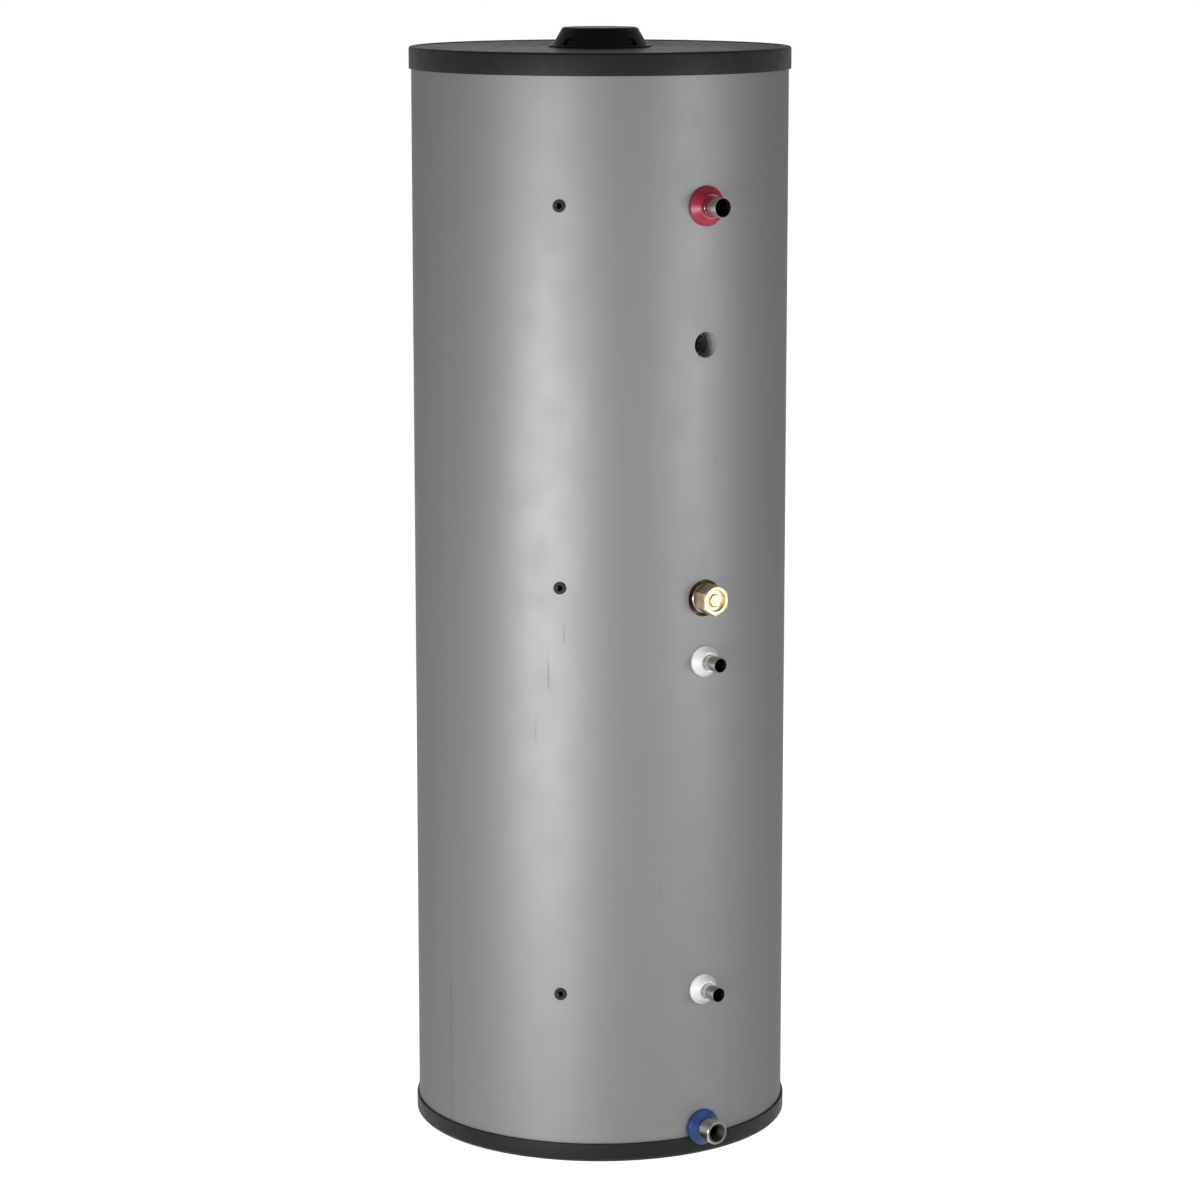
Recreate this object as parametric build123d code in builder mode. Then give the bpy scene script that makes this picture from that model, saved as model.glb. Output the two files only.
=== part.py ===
"""Indirect hot water cylinder: an insulated stainless steel vessel with an internal heating coil,
an electric immersion heater, three sensor pockets, pipe stubs with push-on collars, a painted
sheet jacket, and black moulded covers at both ends.

Millimetres. +Z is up, and the origin is on the floor at the cylinder's axis.
The pipe column faces -Y. Angles run around the axis from -Y towards +X.
"""
from build123d import *
from math import atan, cos, degrees, pi, radians, sin, sqrt, tan
import os

os.makedirs("parts", exist_ok=True)

# ---------------------------------------------------------------- driving dimensions
JACKET_R = 275.0            # outside of the painted sheet jacket
SHEET = 0.6                 # jacket sheet thickness
COVER_R = 278.5             # outside of the two moulded end covers
COVER_WALL = 3.0            # wall of the moulded covers
PAN_RIM_Z = 28.0            # top edge of the base pan's rim
PAN_FLOOR = 4.0             # floor thickness of the base pan
LID_RIM_Z = 1571.0          # lower edge of the top cover's rim
LID_TOP_Z = 1603.0          # top face of the top cover
CAP_TOP_Z = 1630.0          # top face of the access cap

VESSEL_R = 225.0            # outside of the pressure vessel
VESSEL_WALL = 1.5
DOME_DEPTH = 95.0           # height of each pressed end
KNUCKLE_R = 45.0            # small radius of a pressed end, where it turns into the shell
SHELL_LOW_Z = 177.0         # weld line of the bottom dome
SHELL_HIGH_Z = 1455.0       # weld line of the top dome

PIPE_R = 11.0               # 22 mm pipe stubs
PIPE_BORE_R = 10.0
HOT_PIPE_R = 14.0           # 28 mm hot outlet
HOT_BORE_R = 13.0
PIPE_ANGLE = 0.0            # the pipe column
POCKET_ANGLE = -45.0        # the sensor pocket column
SEAM_ANGLE = -86.0          # the jacket's lap seam

HOT_Z = 1388.0
STUB_PROJECTION = 41.0      # from the jacket's face
RELIEF_Z = 1192.0           # temperature and pressure relief port
HEATER_Z = 828.0
FLOW_Z = 736.0              # coil flow stub
RETURN_Z = 249.0            # coil return stub
COLD_Z = 40.0
COLD_PROJECTION = 39.0
POCKET_HEIGHTS = {"upper": 1391.0, "middle": 849.0, "lower": 252.0}

GAP = 0.3                   # clearance between a moving piece and what it slides on
CUT_CLEAR = 5.0             # how far a cutting tool starts clear of the wall it cuts
CUT_DEEP = 30.0             # how far it reaches
TOOL_LEAD = 15.0            # how far inside a wall a hole through the foam starts

JACKET_IN_R = JACKET_R - SHEET
FOAM_R = JACKET_IN_R - 0.1
JACKET_LOW_Z = PAN_FLOOR
JACKET_HIGH_Z = LID_TOP_Z - COVER_WALL - 2.0
VESSEL_IN_R = VESSEL_R - VESSEL_WALL

# a pressed end's crown follows from its depth and its knuckle
KNUCKLE_X = VESSEL_R - KNUCKLE_R
CROWN_R = (KNUCKLE_X ** 2 + DOME_DEPTH ** 2 - KNUCKLE_R ** 2) / (2 * (DOME_DEPTH - KNUCKLE_R))
CROWN_DROP = CROWN_R - DOME_DEPTH
KNUCKLE_ARC = degrees(atan(CROWN_DROP / KNUCKLE_X))


# ---------------------------------------------------------------- planes and shapes used often
def outward(angle):
    """Direction from the axis towards the jacket at an angle."""
    return (sin(radians(angle)), -cos(radians(angle)), 0.0)


def along(angle):
    """Horizontal direction along the jacket's face at an angle."""
    return (cos(radians(angle)), sin(radians(angle)), 0.0)


def fitting_plane(angle, radius, height):
    """A plane facing outward, at a distance from the axis."""
    x, y, _ = outward(angle)
    return Plane(origin=(radius * x, radius * y, height), x_dir=along(angle), z_dir=outward(angle))


def profile_plane(angle, height):
    """A plane through a fitting's axis: its x runs outward from the tank's axis and its y runs up."""
    x, y, _ = along(angle)
    return Plane(origin=(0, 0, height), x_dir=outward(angle), z_dir=(-x, -y, 0))


def fitting_axis(angle, height):
    return Axis((0, 0, height), outward(angle))


def turned(angle, height, points):
    """A solid of revolution about a fitting's axis, from (distance from the tank's axis, radius)."""
    with BuildPart() as body:
        with BuildSketch(profile_plane(angle, height)):
            with BuildLine():
                Polyline(*points, close=True)
            make_face()
        revolve(axis=fitting_axis(angle, height))
    return body.part


def drum(radius, low, high):
    """A plain upright drum on the tank's axis."""
    with BuildPart() as body:
        with BuildSketch(Plane.XY.offset(low)):
            Circle(radius)
        extrude(amount=high - low)
    return body.part


def dome(inset, weld_z, side):
    """A solid dished end: a spherical crown and a toroidal knuckle, above (1) or below (-1) its weld line."""
    knuckle = KNUCKLE_R - inset
    crown = CROWN_R - inset
    with BuildPart() as body:
        with BuildSketch(Plane.XZ):
            with BuildLine():
                foot = CenterArc((KNUCKLE_X, weld_z), knuckle, 0, side * KNUCKLE_ARC)
                crown_z = weld_z - side * CROWN_DROP
                top = CenterArc((0, crown_z), crown, side * KNUCKLE_ARC, side * (90 - KNUCKLE_ARC))
                Polyline(top @ 1, (0, weld_z), foot @ 0)
            make_face()
        revolve(axis=Axis.Z)
    return body.part


def dome_drop(radius, inset=0.0):
    """How far the crown of a dished end stands from its weld line at a radius."""
    return sqrt((CROWN_R - inset) ** 2 - radius ** 2) - CROWN_DROP


def finish(part, name):
    part.label = name
    export_step(part, f"parts/{name}.step")


# ---------------------------------------------------------------- base pan
PAN_INNER_R = JACKET_R + 0.4
SUPPORT_R = 170.0
SUPPORT_WALL = 2.0
RIB_HEIGHT = 5.0
RIB_GAP = 0.5
RIB_WALL = 3.0

with BuildPart() as base_pan:
    with BuildSketch(Plane.XZ):
        with BuildLine():
            Polyline(
                (0, 0), (COVER_R - 5.0, 0), (COVER_R, 5.0), (COVER_R, PAN_RIM_Z),
                (PAN_INNER_R, PAN_RIM_Z), (PAN_INNER_R, PAN_FLOOR), (0, PAN_FLOOR), close=True,
            )
        make_face()
    revolve(axis=Axis.Z)
    # moulded rib that centres the support ring
    with BuildSketch(Plane.XY.offset(PAN_FLOOR)):
        Circle(SUPPORT_R + RIB_GAP + RIB_WALL)
        Circle(SUPPORT_R + RIB_GAP, mode=Mode.SUBTRACT)
    extrude(amount=RIB_HEIGHT)
    rim_edges = base_pan.edges().filter_by(GeomType.CIRCLE)
    fillet(rim_edges.filter_by(lambda e: e.radius > COVER_R - 0.1 and e.center().Z > 10), radius=1.2)
    fillet(rim_edges.filter_by(lambda e: e.radius > COVER_R - 0.1 and e.center().Z < 10), radius=3.0)
finish(base_pan.part, "base_pan")

# ---------------------------------------------------------------- pressure vessel
bottom_dome_solid = dome(0, SHELL_LOW_Z, -1)
top_dome_solid = dome(0, SHELL_HIGH_Z, 1)
bottom_dome_hollow = dome(VESSEL_WALL, SHELL_LOW_Z, -1)
top_dome_hollow = dome(VESSEL_WALL, SHELL_HIGH_Z, 1)
vessel_solid = bottom_dome_solid + drum(VESSEL_R, SHELL_LOW_Z, SHELL_HIGH_Z) + top_dome_solid

RELIEF_BOSS_R = 17.0
HEATER_BOSS_R = 21.5
POCKET_R = 6.0

with BuildPart() as vessel_shell:
    with BuildSketch(Plane.XY.offset(SHELL_LOW_Z)):
        Circle(VESSEL_R)
        Circle(VESSEL_IN_R, mode=Mode.SUBTRACT)
    extrude(amount=SHELL_HIGH_Z - SHELL_LOW_Z)
    fittings = (
        (PIPE_ANGLE, HOT_Z, HOT_PIPE_R), (PIPE_ANGLE, RELIEF_Z, RELIEF_BOSS_R),
        (PIPE_ANGLE, HEATER_Z, HEATER_BOSS_R), (PIPE_ANGLE, FLOW_Z, PIPE_R),
        (PIPE_ANGLE, RETURN_Z, PIPE_R),
    )
    pockets = tuple((POCKET_ANGLE, z, POCKET_R) for z in POCKET_HEIGHTS.values())
    for angle, height, radius in fittings + pockets:
        with BuildSketch(fitting_plane(angle, VESSEL_R + CUT_CLEAR, height)):
            Circle(radius)
        extrude(amount=-CUT_DEEP, mode=Mode.SUBTRACT)
finish(vessel_shell.part, "vessel_shell")

with BuildPart() as vessel_top_dome:
    add(top_dome_solid)
    add(top_dome_hollow, mode=Mode.SUBTRACT)
finish(vessel_top_dome.part, "vessel_top_dome")

with BuildPart() as vessel_bottom_dome:
    add(bottom_dome_solid)
    add(bottom_dome_hollow, mode=Mode.SUBTRACT)
    with BuildSketch(Plane.XY.offset(SHELL_LOW_Z - DOME_DEPTH - CUT_CLEAR)):
        Circle(PIPE_R)
    extrude(amount=CUT_DEEP, mode=Mode.SUBTRACT)
finish(vessel_bottom_dome.part, "vessel_bottom_dome")

# ---------------------------------------------------------------- support ring under the vessel
support_in_r = SUPPORT_R - SUPPORT_WALL
support_top_z = SHELL_LOW_Z - dome_drop(support_in_r)
RING_HOLE_R = 14.0          # air holes around the ring
RING_HOLE_Z = 62.0
RING_HOLES = 6

with BuildPart() as support_ring:
    with BuildSketch(Plane.XY.offset(PAN_FLOOR)):
        Circle(SUPPORT_R)
        Circle(support_in_r, mode=Mode.SUBTRACT)
    extrude(amount=support_top_z - PAN_FLOOR)
    for i in range(RING_HOLES):
        angle = (i + 0.5) * 360 / RING_HOLES
        with BuildSketch(fitting_plane(angle, SUPPORT_R + CUT_CLEAR, RING_HOLE_Z)):
            Circle(RING_HOLE_R)
        extrude(amount=-CUT_DEEP, mode=Mode.SUBTRACT)
    with BuildSketch(fitting_plane(PIPE_ANGLE, SUPPORT_R + CUT_CLEAR, COLD_Z)):
        Circle(PIPE_R + 1.0)
    extrude(amount=-CUT_DEEP, mode=Mode.SUBTRACT)
finish(support_ring.part, "support_ring")

# ---------------------------------------------------------------- pipe stubs
MARK_WIDTH = 1.0            # insertion mark rolled into a stub
MARK_DEPTH = 0.25
END_CHAMFER = 0.5
STUB_INNER_END = 205.0      # a stub ends inside the vessel's wall


def pipe_stub(height, projection, mark_at, outer=PIPE_R, bore=PIPE_BORE_R):
    """A straight stub with a rolled insertion mark and a chamfered end."""
    tip = JACKET_R + projection
    mark = JACKET_R + mark_at
    root = outer - MARK_DEPTH
    return turned(PIPE_ANGLE, height, (
        (STUB_INNER_END, bore), (STUB_INNER_END, outer), (mark, outer), (mark, root),
        (mark + MARK_WIDTH, root), (mark + MARK_WIDTH, outer), (tip - END_CHAMFER, outer),
        (tip, outer - END_CHAMFER), (tip, bore),
    ))


COLLAR_HEIGHT = 14.0
COLD_COLLAR_HEIGHT = 12.0
COLLAR_CHAMFER = 1.0

hot_stub = pipe_stub(HOT_Z, STUB_PROJECTION, COLLAR_HEIGHT + 1, HOT_PIPE_R, HOT_BORE_R)
finish(hot_stub, "hot_outlet_stub")
finish(pipe_stub(FLOW_Z, STUB_PROJECTION, COLLAR_HEIGHT + 1), "coil_flow_stub")
finish(pipe_stub(RETURN_Z, STUB_PROJECTION, COLLAR_HEIGHT + 1), "coil_return_stub")

# cold inlet: the stub carries a threaded socket at its end
SOCKET_R = 17.0
SOCKET_THREAD_R = 12.06     # G 3/4 thread, minor radius
SOCKET_THREAD = 17.0
SOCKET_LENGTH = 24.0
COLD_STUB_INNER_END = 232.0
cold_tip = JACKET_R + COLD_PROJECTION
socket_back = cold_tip - SOCKET_LENGTH
finish(turned(PIPE_ANGLE, COLD_Z, (
    (COLD_STUB_INNER_END, PIPE_BORE_R), (COLD_STUB_INNER_END, PIPE_R), (socket_back, PIPE_R),
    (socket_back, SOCKET_R - 1.5), (socket_back + 1.5, SOCKET_R), (cold_tip - 1.5, SOCKET_R),
    (cold_tip, SOCKET_R - 1.5), (cold_tip, SOCKET_THREAD_R + 1.0),
    (cold_tip - 1.0, SOCKET_THREAD_R), (cold_tip - 1.0 - SOCKET_THREAD, SOCKET_THREAD_R),
    (cold_tip - 1.0 - SOCKET_THREAD, PIPE_BORE_R),
)), "cold_inlet_stub")


# ---------------------------------------------------------------- internal pipework
def bent_pipe(points, radius, outer, inner=None):
    """A round pipe, or a rod where it has no bore, along straight runs joined by tangent arcs."""
    with BuildPart() as pipe:
        with BuildLine():
            route = FilletPolyline(*points, radius=radius)
        with BuildSketch(Plane(origin=route @ 0, z_dir=route % 0)):
            Circle(outer)
            if inner:
                Circle(inner, mode=Mode.SUBTRACT)
        sweep(path=route)
    return pipe.part


# draw-off pipe: from the hot stub to just under the top dome
DRAW_BEND = 35.0
DRAW_Y = -150.0
DRAW_TOP_Z = 1505.0
finish(bent_pipe(
    ((0, -STUB_INNER_END, HOT_Z), (0, DRAW_Y, HOT_Z), (0, DRAW_Y, DRAW_TOP_Z)),
    DRAW_BEND, HOT_PIPE_R, HOT_BORE_R,
), "hot_draw_off_pipe")

# feed pipe: from the cold stub, under the vessel, and up through the bottom dome's centre
FEED_BEND = 34.0
FEED_TOP_Z = SHELL_LOW_Z - DOME_DEPTH + 14.0
feed_route = ((0, -COLD_STUB_INNER_END, COLD_Z), (0, 0, COLD_Z), (0, 0, FEED_TOP_Z))
finish(bent_pipe(feed_route, FEED_BEND, PIPE_R, PIPE_BORE_R), "cold_feed_pipe")

# diffuser over the feed pipe's mouth: a shallow dish on three legs
DIFFUSER_R = 40.0
DIFFUSER_Z = FEED_TOP_Z + 16.0
DIFFUSER_SHEET = 2.0
DIFFUSER_RIM = 6.0
LEGS = 3
LEG_R = 31.0                # a leg's distance from the axis
LEG_WIDTH = 10.0
LEG_CORNER_R = LEG_R + 5.5  # a leg's foot stops where its outer corner meets the dome
leg_foot_z = SHELL_LOW_Z - dome_drop(LEG_CORNER_R, VESSEL_WALL)
with BuildPart() as inlet_diffuser:
    with BuildSketch(Plane.XY.offset(DIFFUSER_Z)):
        Circle(DIFFUSER_R)
    extrude(amount=DIFFUSER_SHEET)
    with BuildSketch(Plane.XY.offset(DIFFUSER_Z)):
        Circle(DIFFUSER_R)
        Circle(DIFFUSER_R - DIFFUSER_SHEET, mode=Mode.SUBTRACT)
    extrude(amount=-DIFFUSER_RIM)
    with BuildSketch(Plane.XY.offset(DIFFUSER_Z)):
        with PolarLocations(LEG_R, LEGS, start_angle=90):
            Rectangle(DIFFUSER_SHEET, LEG_WIDTH)
    extrude(amount=leg_foot_z - DIFFUSER_Z)
finish(inlet_diffuser.part, "inlet_diffuser")

# ---------------------------------------------------------------- heating coil
COIL_R = 150.0              # centreline radius of the coil's turns
COIL_PITCH = 38.0
COIL_TURN_IN = 14.0         # where the coil leaves its circle, in degrees before the pipe column
STRAIGHT_LEAD = 2.0

coil_slope = atan(COIL_PITCH / (2 * pi * COIL_R))
bend_in = radians(COIL_TURN_IN)
# the lower end runs towards the column from one side, the upper end from the other
lead = COIL_R * sin(bend_in) / (cos(bend_in) * cos(coil_slope))
lead_rise = lead * sin(coil_slope)
coil_low_z = RETURN_Z + lead_rise
coil_high_z = FLOW_Z - lead_rise
turns_wanted = (coil_high_z - coil_low_z) / COIL_PITCH
coil_sweep = 360.0 * round(turns_wanted) - 2 * COIL_TURN_IN
coil_pitch = (coil_high_z - coil_low_z) / (coil_sweep / 360.0)


def coil_point(angle, height):
    x, y, _ = outward(angle)
    return Vector(COIL_R * x, COIL_R * y, height)


def coil_bend(height, end_z, side):
    """The bend from the coil's end out to its stub. side is the side of the column it comes from."""
    slope = atan(coil_pitch / (2 * pi * COIL_R))
    start = coil_point(side * COIL_TURN_IN, end_z)
    t = along(side * COIL_TURN_IN)
    heading = Vector(-side * t[0] * cos(slope), -side * t[1] * cos(slope), (height - end_z) / lead)
    corner = Vector(0, start.Y + heading.Y * lead, height)
    turn = (corner - start).get_angle(Vector(0, -1, 0))
    radius = (lead - STRAIGHT_LEAD) / tan(radians(turn) / 2)
    points = (tuple(start), tuple(corner), (0, -STUB_INNER_END, height))
    return bent_pipe(points, radius, PIPE_R, PIPE_BORE_R)


finish(coil_bend(RETURN_Z, coil_low_z, 1), "coil_return_bend")
finish(coil_bend(FLOW_Z, coil_high_z, -1), "coil_flow_bend")

with BuildPart() as heating_coil:
    with BuildLine(Plane.XY.offset(coil_low_z)):
        turns = Helix(coil_pitch, coil_high_z - coil_low_z, COIL_R)
    with BuildSketch(Plane(origin=turns @ 0, z_dir=turns % 0)):
        Circle(PIPE_R)
        Circle(PIPE_BORE_R, mode=Mode.SUBTRACT)
    sweep(path=turns, is_frenet=True)
# a helix starts on +X, so the coil is turned to start beside the pipe column
finish(heating_coil.part.rotate(Axis.Z, COIL_TURN_IN - 90), "heating_coil")

# three notched bars that hold the coil's turns
BAR_ANGLES = (60.0, 180.0, 300.0)
BAR_WIDTH = 14.0
BAR_THICK = 3.0
BAR_TOP_Z = FLOW_Z + 20.0
BAR_R = COIL_R - PIPE_R - GAP - BAR_THICK
bar_corner_r = sqrt((BAR_R + BAR_THICK) ** 2 + (BAR_WIDTH / 2) ** 2)
bar_foot_z = SHELL_LOW_Z - dome_drop(bar_corner_r, VESSEL_WALL)
with BuildPart() as coil_support_bars:
    for angle in BAR_ANGLES:
        with BuildSketch(fitting_plane(angle, BAR_R, (bar_foot_z + BAR_TOP_Z) / 2)):
            Rectangle(BAR_WIDTH, BAR_TOP_Z - bar_foot_z)
        extrude(amount=BAR_THICK)
finish(coil_support_bars.part, "coil_support_bars")

# ---------------------------------------------------------------- relief port and heater boss
RELIEF_FACE = 253.0         # the boss ends deep in its hole through the foam
RELIEF_THREAD_R = 12.06     # G 3/4 thread, minor radius
RELIEF_THREAD = 18.0
RELIEF_BEVEL = 1.2          # lead-in at the thread's mouth, and the relief behind it
RELIEF_HOLE_R = 18.5        # hole in the jacket
BOSS_INNER_END = 217.0
relief_mouth = RELIEF_FACE - RELIEF_BEVEL
finish(turned(PIPE_ANGLE, RELIEF_Z, (
    (BOSS_INNER_END, RELIEF_THREAD_R + RELIEF_BEVEL), (BOSS_INNER_END, RELIEF_BOSS_R),
    (RELIEF_FACE - 1, RELIEF_BOSS_R), (RELIEF_FACE, RELIEF_BOSS_R - 1),
    (RELIEF_FACE, RELIEF_THREAD_R + RELIEF_BEVEL), (relief_mouth, RELIEF_THREAD_R),
    (relief_mouth - RELIEF_THREAD, RELIEF_THREAD_R),
    (relief_mouth - RELIEF_THREAD, RELIEF_THREAD_R + RELIEF_BEVEL),
)), "relief_port_boss")

HEATER_FACE = 277.0         # the boss stands just proud of the jacket
HEATER_THREAD_R = 16.6      # outside of the heater's G 1 thread
HEATER_THREAD = 18.0
SHANK_LEAD = 2.0            # plain end of the heater's shank, before its thread
HEATER_HOLE_R = 27.0        # hole in the jacket and recess in the foam
HEATER_RECESS = 20.0
finish(turned(PIPE_ANGLE, HEATER_Z, (
    (BOSS_INNER_END, HEATER_THREAD_R + GAP), (BOSS_INNER_END, HEATER_BOSS_R),
    (HEATER_FACE - 1, HEATER_BOSS_R), (HEATER_FACE, HEATER_BOSS_R - 1),
    (HEATER_FACE, HEATER_THREAD_R + GAP),
)), "heater_boss")

# ---------------------------------------------------------------- immersion heater
GASKET = 2.0
GASKET_R = 20.0
HEX_ACROSS = 40.0
HEX_HEIGHT = 26.0
HEX_CHAMFER = 2.5
HEAD_GROOVE_R = 15.5        # ring groove in the head's end, around its centre button
HEAD_BUTTON_R = 9.5
HEAD_GROOVE_DEPTH = 6.0
HEAD_BUTTON_DROP = 1.5      # the button stands below the head's rim
finish(turned(PIPE_ANGLE, HEATER_Z, (
    (HEATER_FACE, HEATER_THREAD_R + GAP), (HEATER_FACE, GASKET_R),
    (HEATER_FACE + GASKET, GASKET_R), (HEATER_FACE + GASKET, HEATER_THREAD_R + GAP),
)), "heater_gasket")

hex_back = HEATER_FACE + GASKET
hex_front = hex_back + HEX_HEIGHT
THREAD_PITCH = 25.4 / 11    # parallel pipe thread, 11 to the inch
GROOVES = 7
GROOVE_DEPTH = 0.9


def thread_profile():
    """The heater's thread as rings: crest and root points from its inner end to its head."""
    start = hex_back - HEATER_THREAD
    points = [(start - SHANK_LEAD, HEATER_THREAD_R - 1.5)]
    for i in range(GROOVES):
        s = start + i * THREAD_PITCH
        points += [(s, HEATER_THREAD_R), (s + 0.5, HEATER_THREAD_R)]
        points += [(s + THREAD_PITCH / 2, HEATER_THREAD_R - GROOVE_DEPTH)]
    points += [(start + GROOVES * THREAD_PITCH, HEATER_THREAD_R), (hex_back, HEATER_THREAD_R)]
    return points


hex_corner_r = HEX_ACROSS / 2 / cos(pi / 6)
hex_turning = turned(PIPE_ANGLE, HEATER_Z, (
    (hex_back, 0), (hex_back, hex_corner_r - 1), (hex_back + 1, hex_corner_r),
    (hex_front - HEX_CHAMFER, hex_corner_r), (hex_front, HEX_ACROSS / 2 - 0.5), (hex_front, 0),
))
groove_floor = hex_front - HEAD_GROOVE_DEPTH
head_groove = turned(PIPE_ANGLE, HEATER_Z, (
    (hex_front + 1, 0), (hex_front + 1, HEAD_GROOVE_R), (groove_floor, HEAD_GROOVE_R),
    (groove_floor, HEAD_BUTTON_R), (hex_front - HEAD_BUTTON_DROP, HEAD_BUTTON_R - 1),
    (hex_front - HEAD_BUTTON_DROP, 0),
))
head_thread = turned(PIPE_ANGLE, HEATER_Z, (
    (hex_back - HEATER_THREAD - SHANK_LEAD, 0), *thread_profile(), (hex_back, 0),
))
with BuildPart() as heater_head:
    with BuildSketch(fitting_plane(PIPE_ANGLE, hex_back, HEATER_Z)):
        RegularPolygon(HEX_ACROSS / 2, 6, major_radius=False, rotation=30)
    extrude(amount=HEX_HEIGHT)
    # the hexagon's corners are turned down at both ends
    add(hex_turning, mode=Mode.INTERSECT)
    add(head_groove, mode=Mode.SUBTRACT)
    add(head_thread)
finish(heater_head.part, "heater_head")

# two hairpin elements and a thermostat pocket, all inside the thread's radius
ELEMENT_R = 3.25
ELEMENT_X = 5.5             # half the distance between a hairpin's legs
ELEMENT_OFFSET = 9.5        # a hairpin's plane from the heater's axis
ELEMENT_LENGTH = 290.0
element_start = hex_back - HEATER_THREAD - SHANK_LEAD
with BuildPart() as heater_elements:
    for side in (1, -1):
        z = HEATER_Z + side * ELEMENT_OFFSET
        far = -element_start + ELEMENT_LENGTH
        with BuildLine():
            hairpin = FilletPolyline(
                (ELEMENT_X, -element_start, z), (ELEMENT_X, far, z), (-ELEMENT_X, far, z),
                (-ELEMENT_X, -element_start, z), radius=ELEMENT_X - 0.2,
            )
        with BuildSketch(Plane(origin=hairpin @ 0, z_dir=hairpin % 0)):
            Circle(ELEMENT_R)
        sweep(path=hairpin)
finish(heater_elements.part, "heater_elements")

STAT_R = 4.5
STAT_LENGTH = 260.0
finish(turned(PIPE_ANGLE, HEATER_Z, (
    (element_start, 0), (element_start, STAT_R), (element_start - STAT_LENGTH + 2, STAT_R),
    (element_start - STAT_LENGTH, STAT_R - 2), (element_start - STAT_LENGTH, 0),
)), "heater_thermostat_pocket")

# ---------------------------------------------------------------- sensor pockets and grommets
POCKET_BORE_R = 4.0
POCKET_MOUTH = 275.0
POCKET_DEPTH = 100.0
POCKET_END_WALL = 2.0
GROMMET_R = 9.0
GROMMET_NECK_R = 7.2
GROMMET_MOUTH_R = 4.3       # the grommet's face covers the pocket's rim
GROMMET_PROUD = 2.6
GROMMET_DEEP = 6.0
pocket_bottom = POCKET_MOUTH - POCKET_DEPTH
for name, height in POCKET_HEIGHTS.items():
    finish(turned(POCKET_ANGLE, height, (
        (pocket_bottom - POCKET_END_WALL, 0), (pocket_bottom - POCKET_END_WALL, POCKET_R - 1),
        (pocket_bottom - POCKET_END_WALL + 1, POCKET_R), (POCKET_MOUTH, POCKET_R),
        (POCKET_MOUTH, POCKET_BORE_R + 0.6), (POCKET_MOUTH - 0.6, POCKET_BORE_R),
        (pocket_bottom, POCKET_BORE_R), (pocket_bottom, 0),
    )), f"{name}_sensor_pocket")
    front = JACKET_R + GROMMET_PROUD
    flange = turned(POCKET_ANGLE, height, (
        (JACKET_R - 2, POCKET_R), (JACKET_R - 2, GROMMET_R), (front - 1, GROMMET_R), (front, GROMMET_R - 1),
        (front, GROMMET_MOUTH_R + 0.8), (front - 0.8, GROMMET_MOUTH_R), (POCKET_MOUTH, GROMMET_MOUTH_R),
        (POCKET_MOUTH, POCKET_R),
    )) - drum(JACKET_R, height - 2 * GROMMET_R, height + 2 * GROMMET_R)
    neck = turned(POCKET_ANGLE, height, (
        (JACKET_R - GROMMET_DEEP, POCKET_R), (JACKET_R - GROMMET_DEEP, GROMMET_NECK_R),
        (JACKET_R + 0.5, GROMMET_NECK_R), (JACKET_R + 0.5, POCKET_R),
    ))
    finish(flange + neck, f"{name}_pocket_grommet")

# ---------------------------------------------------------------- painted sheet jacket
SEAM_GAP = 0.8              # width of the line left at the joggled lap
SEAM_DEPTH = 0.4
with BuildPart() as outer_jacket:
    with BuildSketch(Plane.XY.offset(JACKET_LOW_Z)):
        Circle(JACKET_R)
        Circle(JACKET_IN_R, mode=Mode.SUBTRACT)
    extrude(amount=JACKET_HIGH_Z - JACKET_LOW_Z)
    # the groove that is left between the sheet's two edges where one passes under the other
    with BuildSketch(fitting_plane(SEAM_ANGLE, JACKET_R + 1, (JACKET_LOW_Z + JACKET_HIGH_Z) / 2)):
        Rectangle(SEAM_GAP, JACKET_HIGH_Z - JACKET_LOW_Z)
    extrude(amount=-1.0 - SEAM_DEPTH, mode=Mode.SUBTRACT)
    for angle, height, radius in (
        (PIPE_ANGLE, HOT_Z, HOT_PIPE_R + 1.5), (PIPE_ANGLE, RELIEF_Z, RELIEF_HOLE_R),
        (PIPE_ANGLE, HEATER_Z, HEATER_HOLE_R), (PIPE_ANGLE, FLOW_Z, PIPE_R + 1.5),
        (PIPE_ANGLE, RETURN_Z, PIPE_R + 1.5), (PIPE_ANGLE, COLD_Z, PIPE_R + 1.0),
    ) + tuple((POCKET_ANGLE, z, GROMMET_NECK_R) for z in POCKET_HEIGHTS.values()):
        with BuildSketch(fitting_plane(angle, JACKET_R + CUT_CLEAR, height)):
            Circle(radius)
        extrude(amount=-CUT_DEEP, mode=Mode.SUBTRACT)
finish(outer_jacket.part, "outer_jacket")

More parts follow.
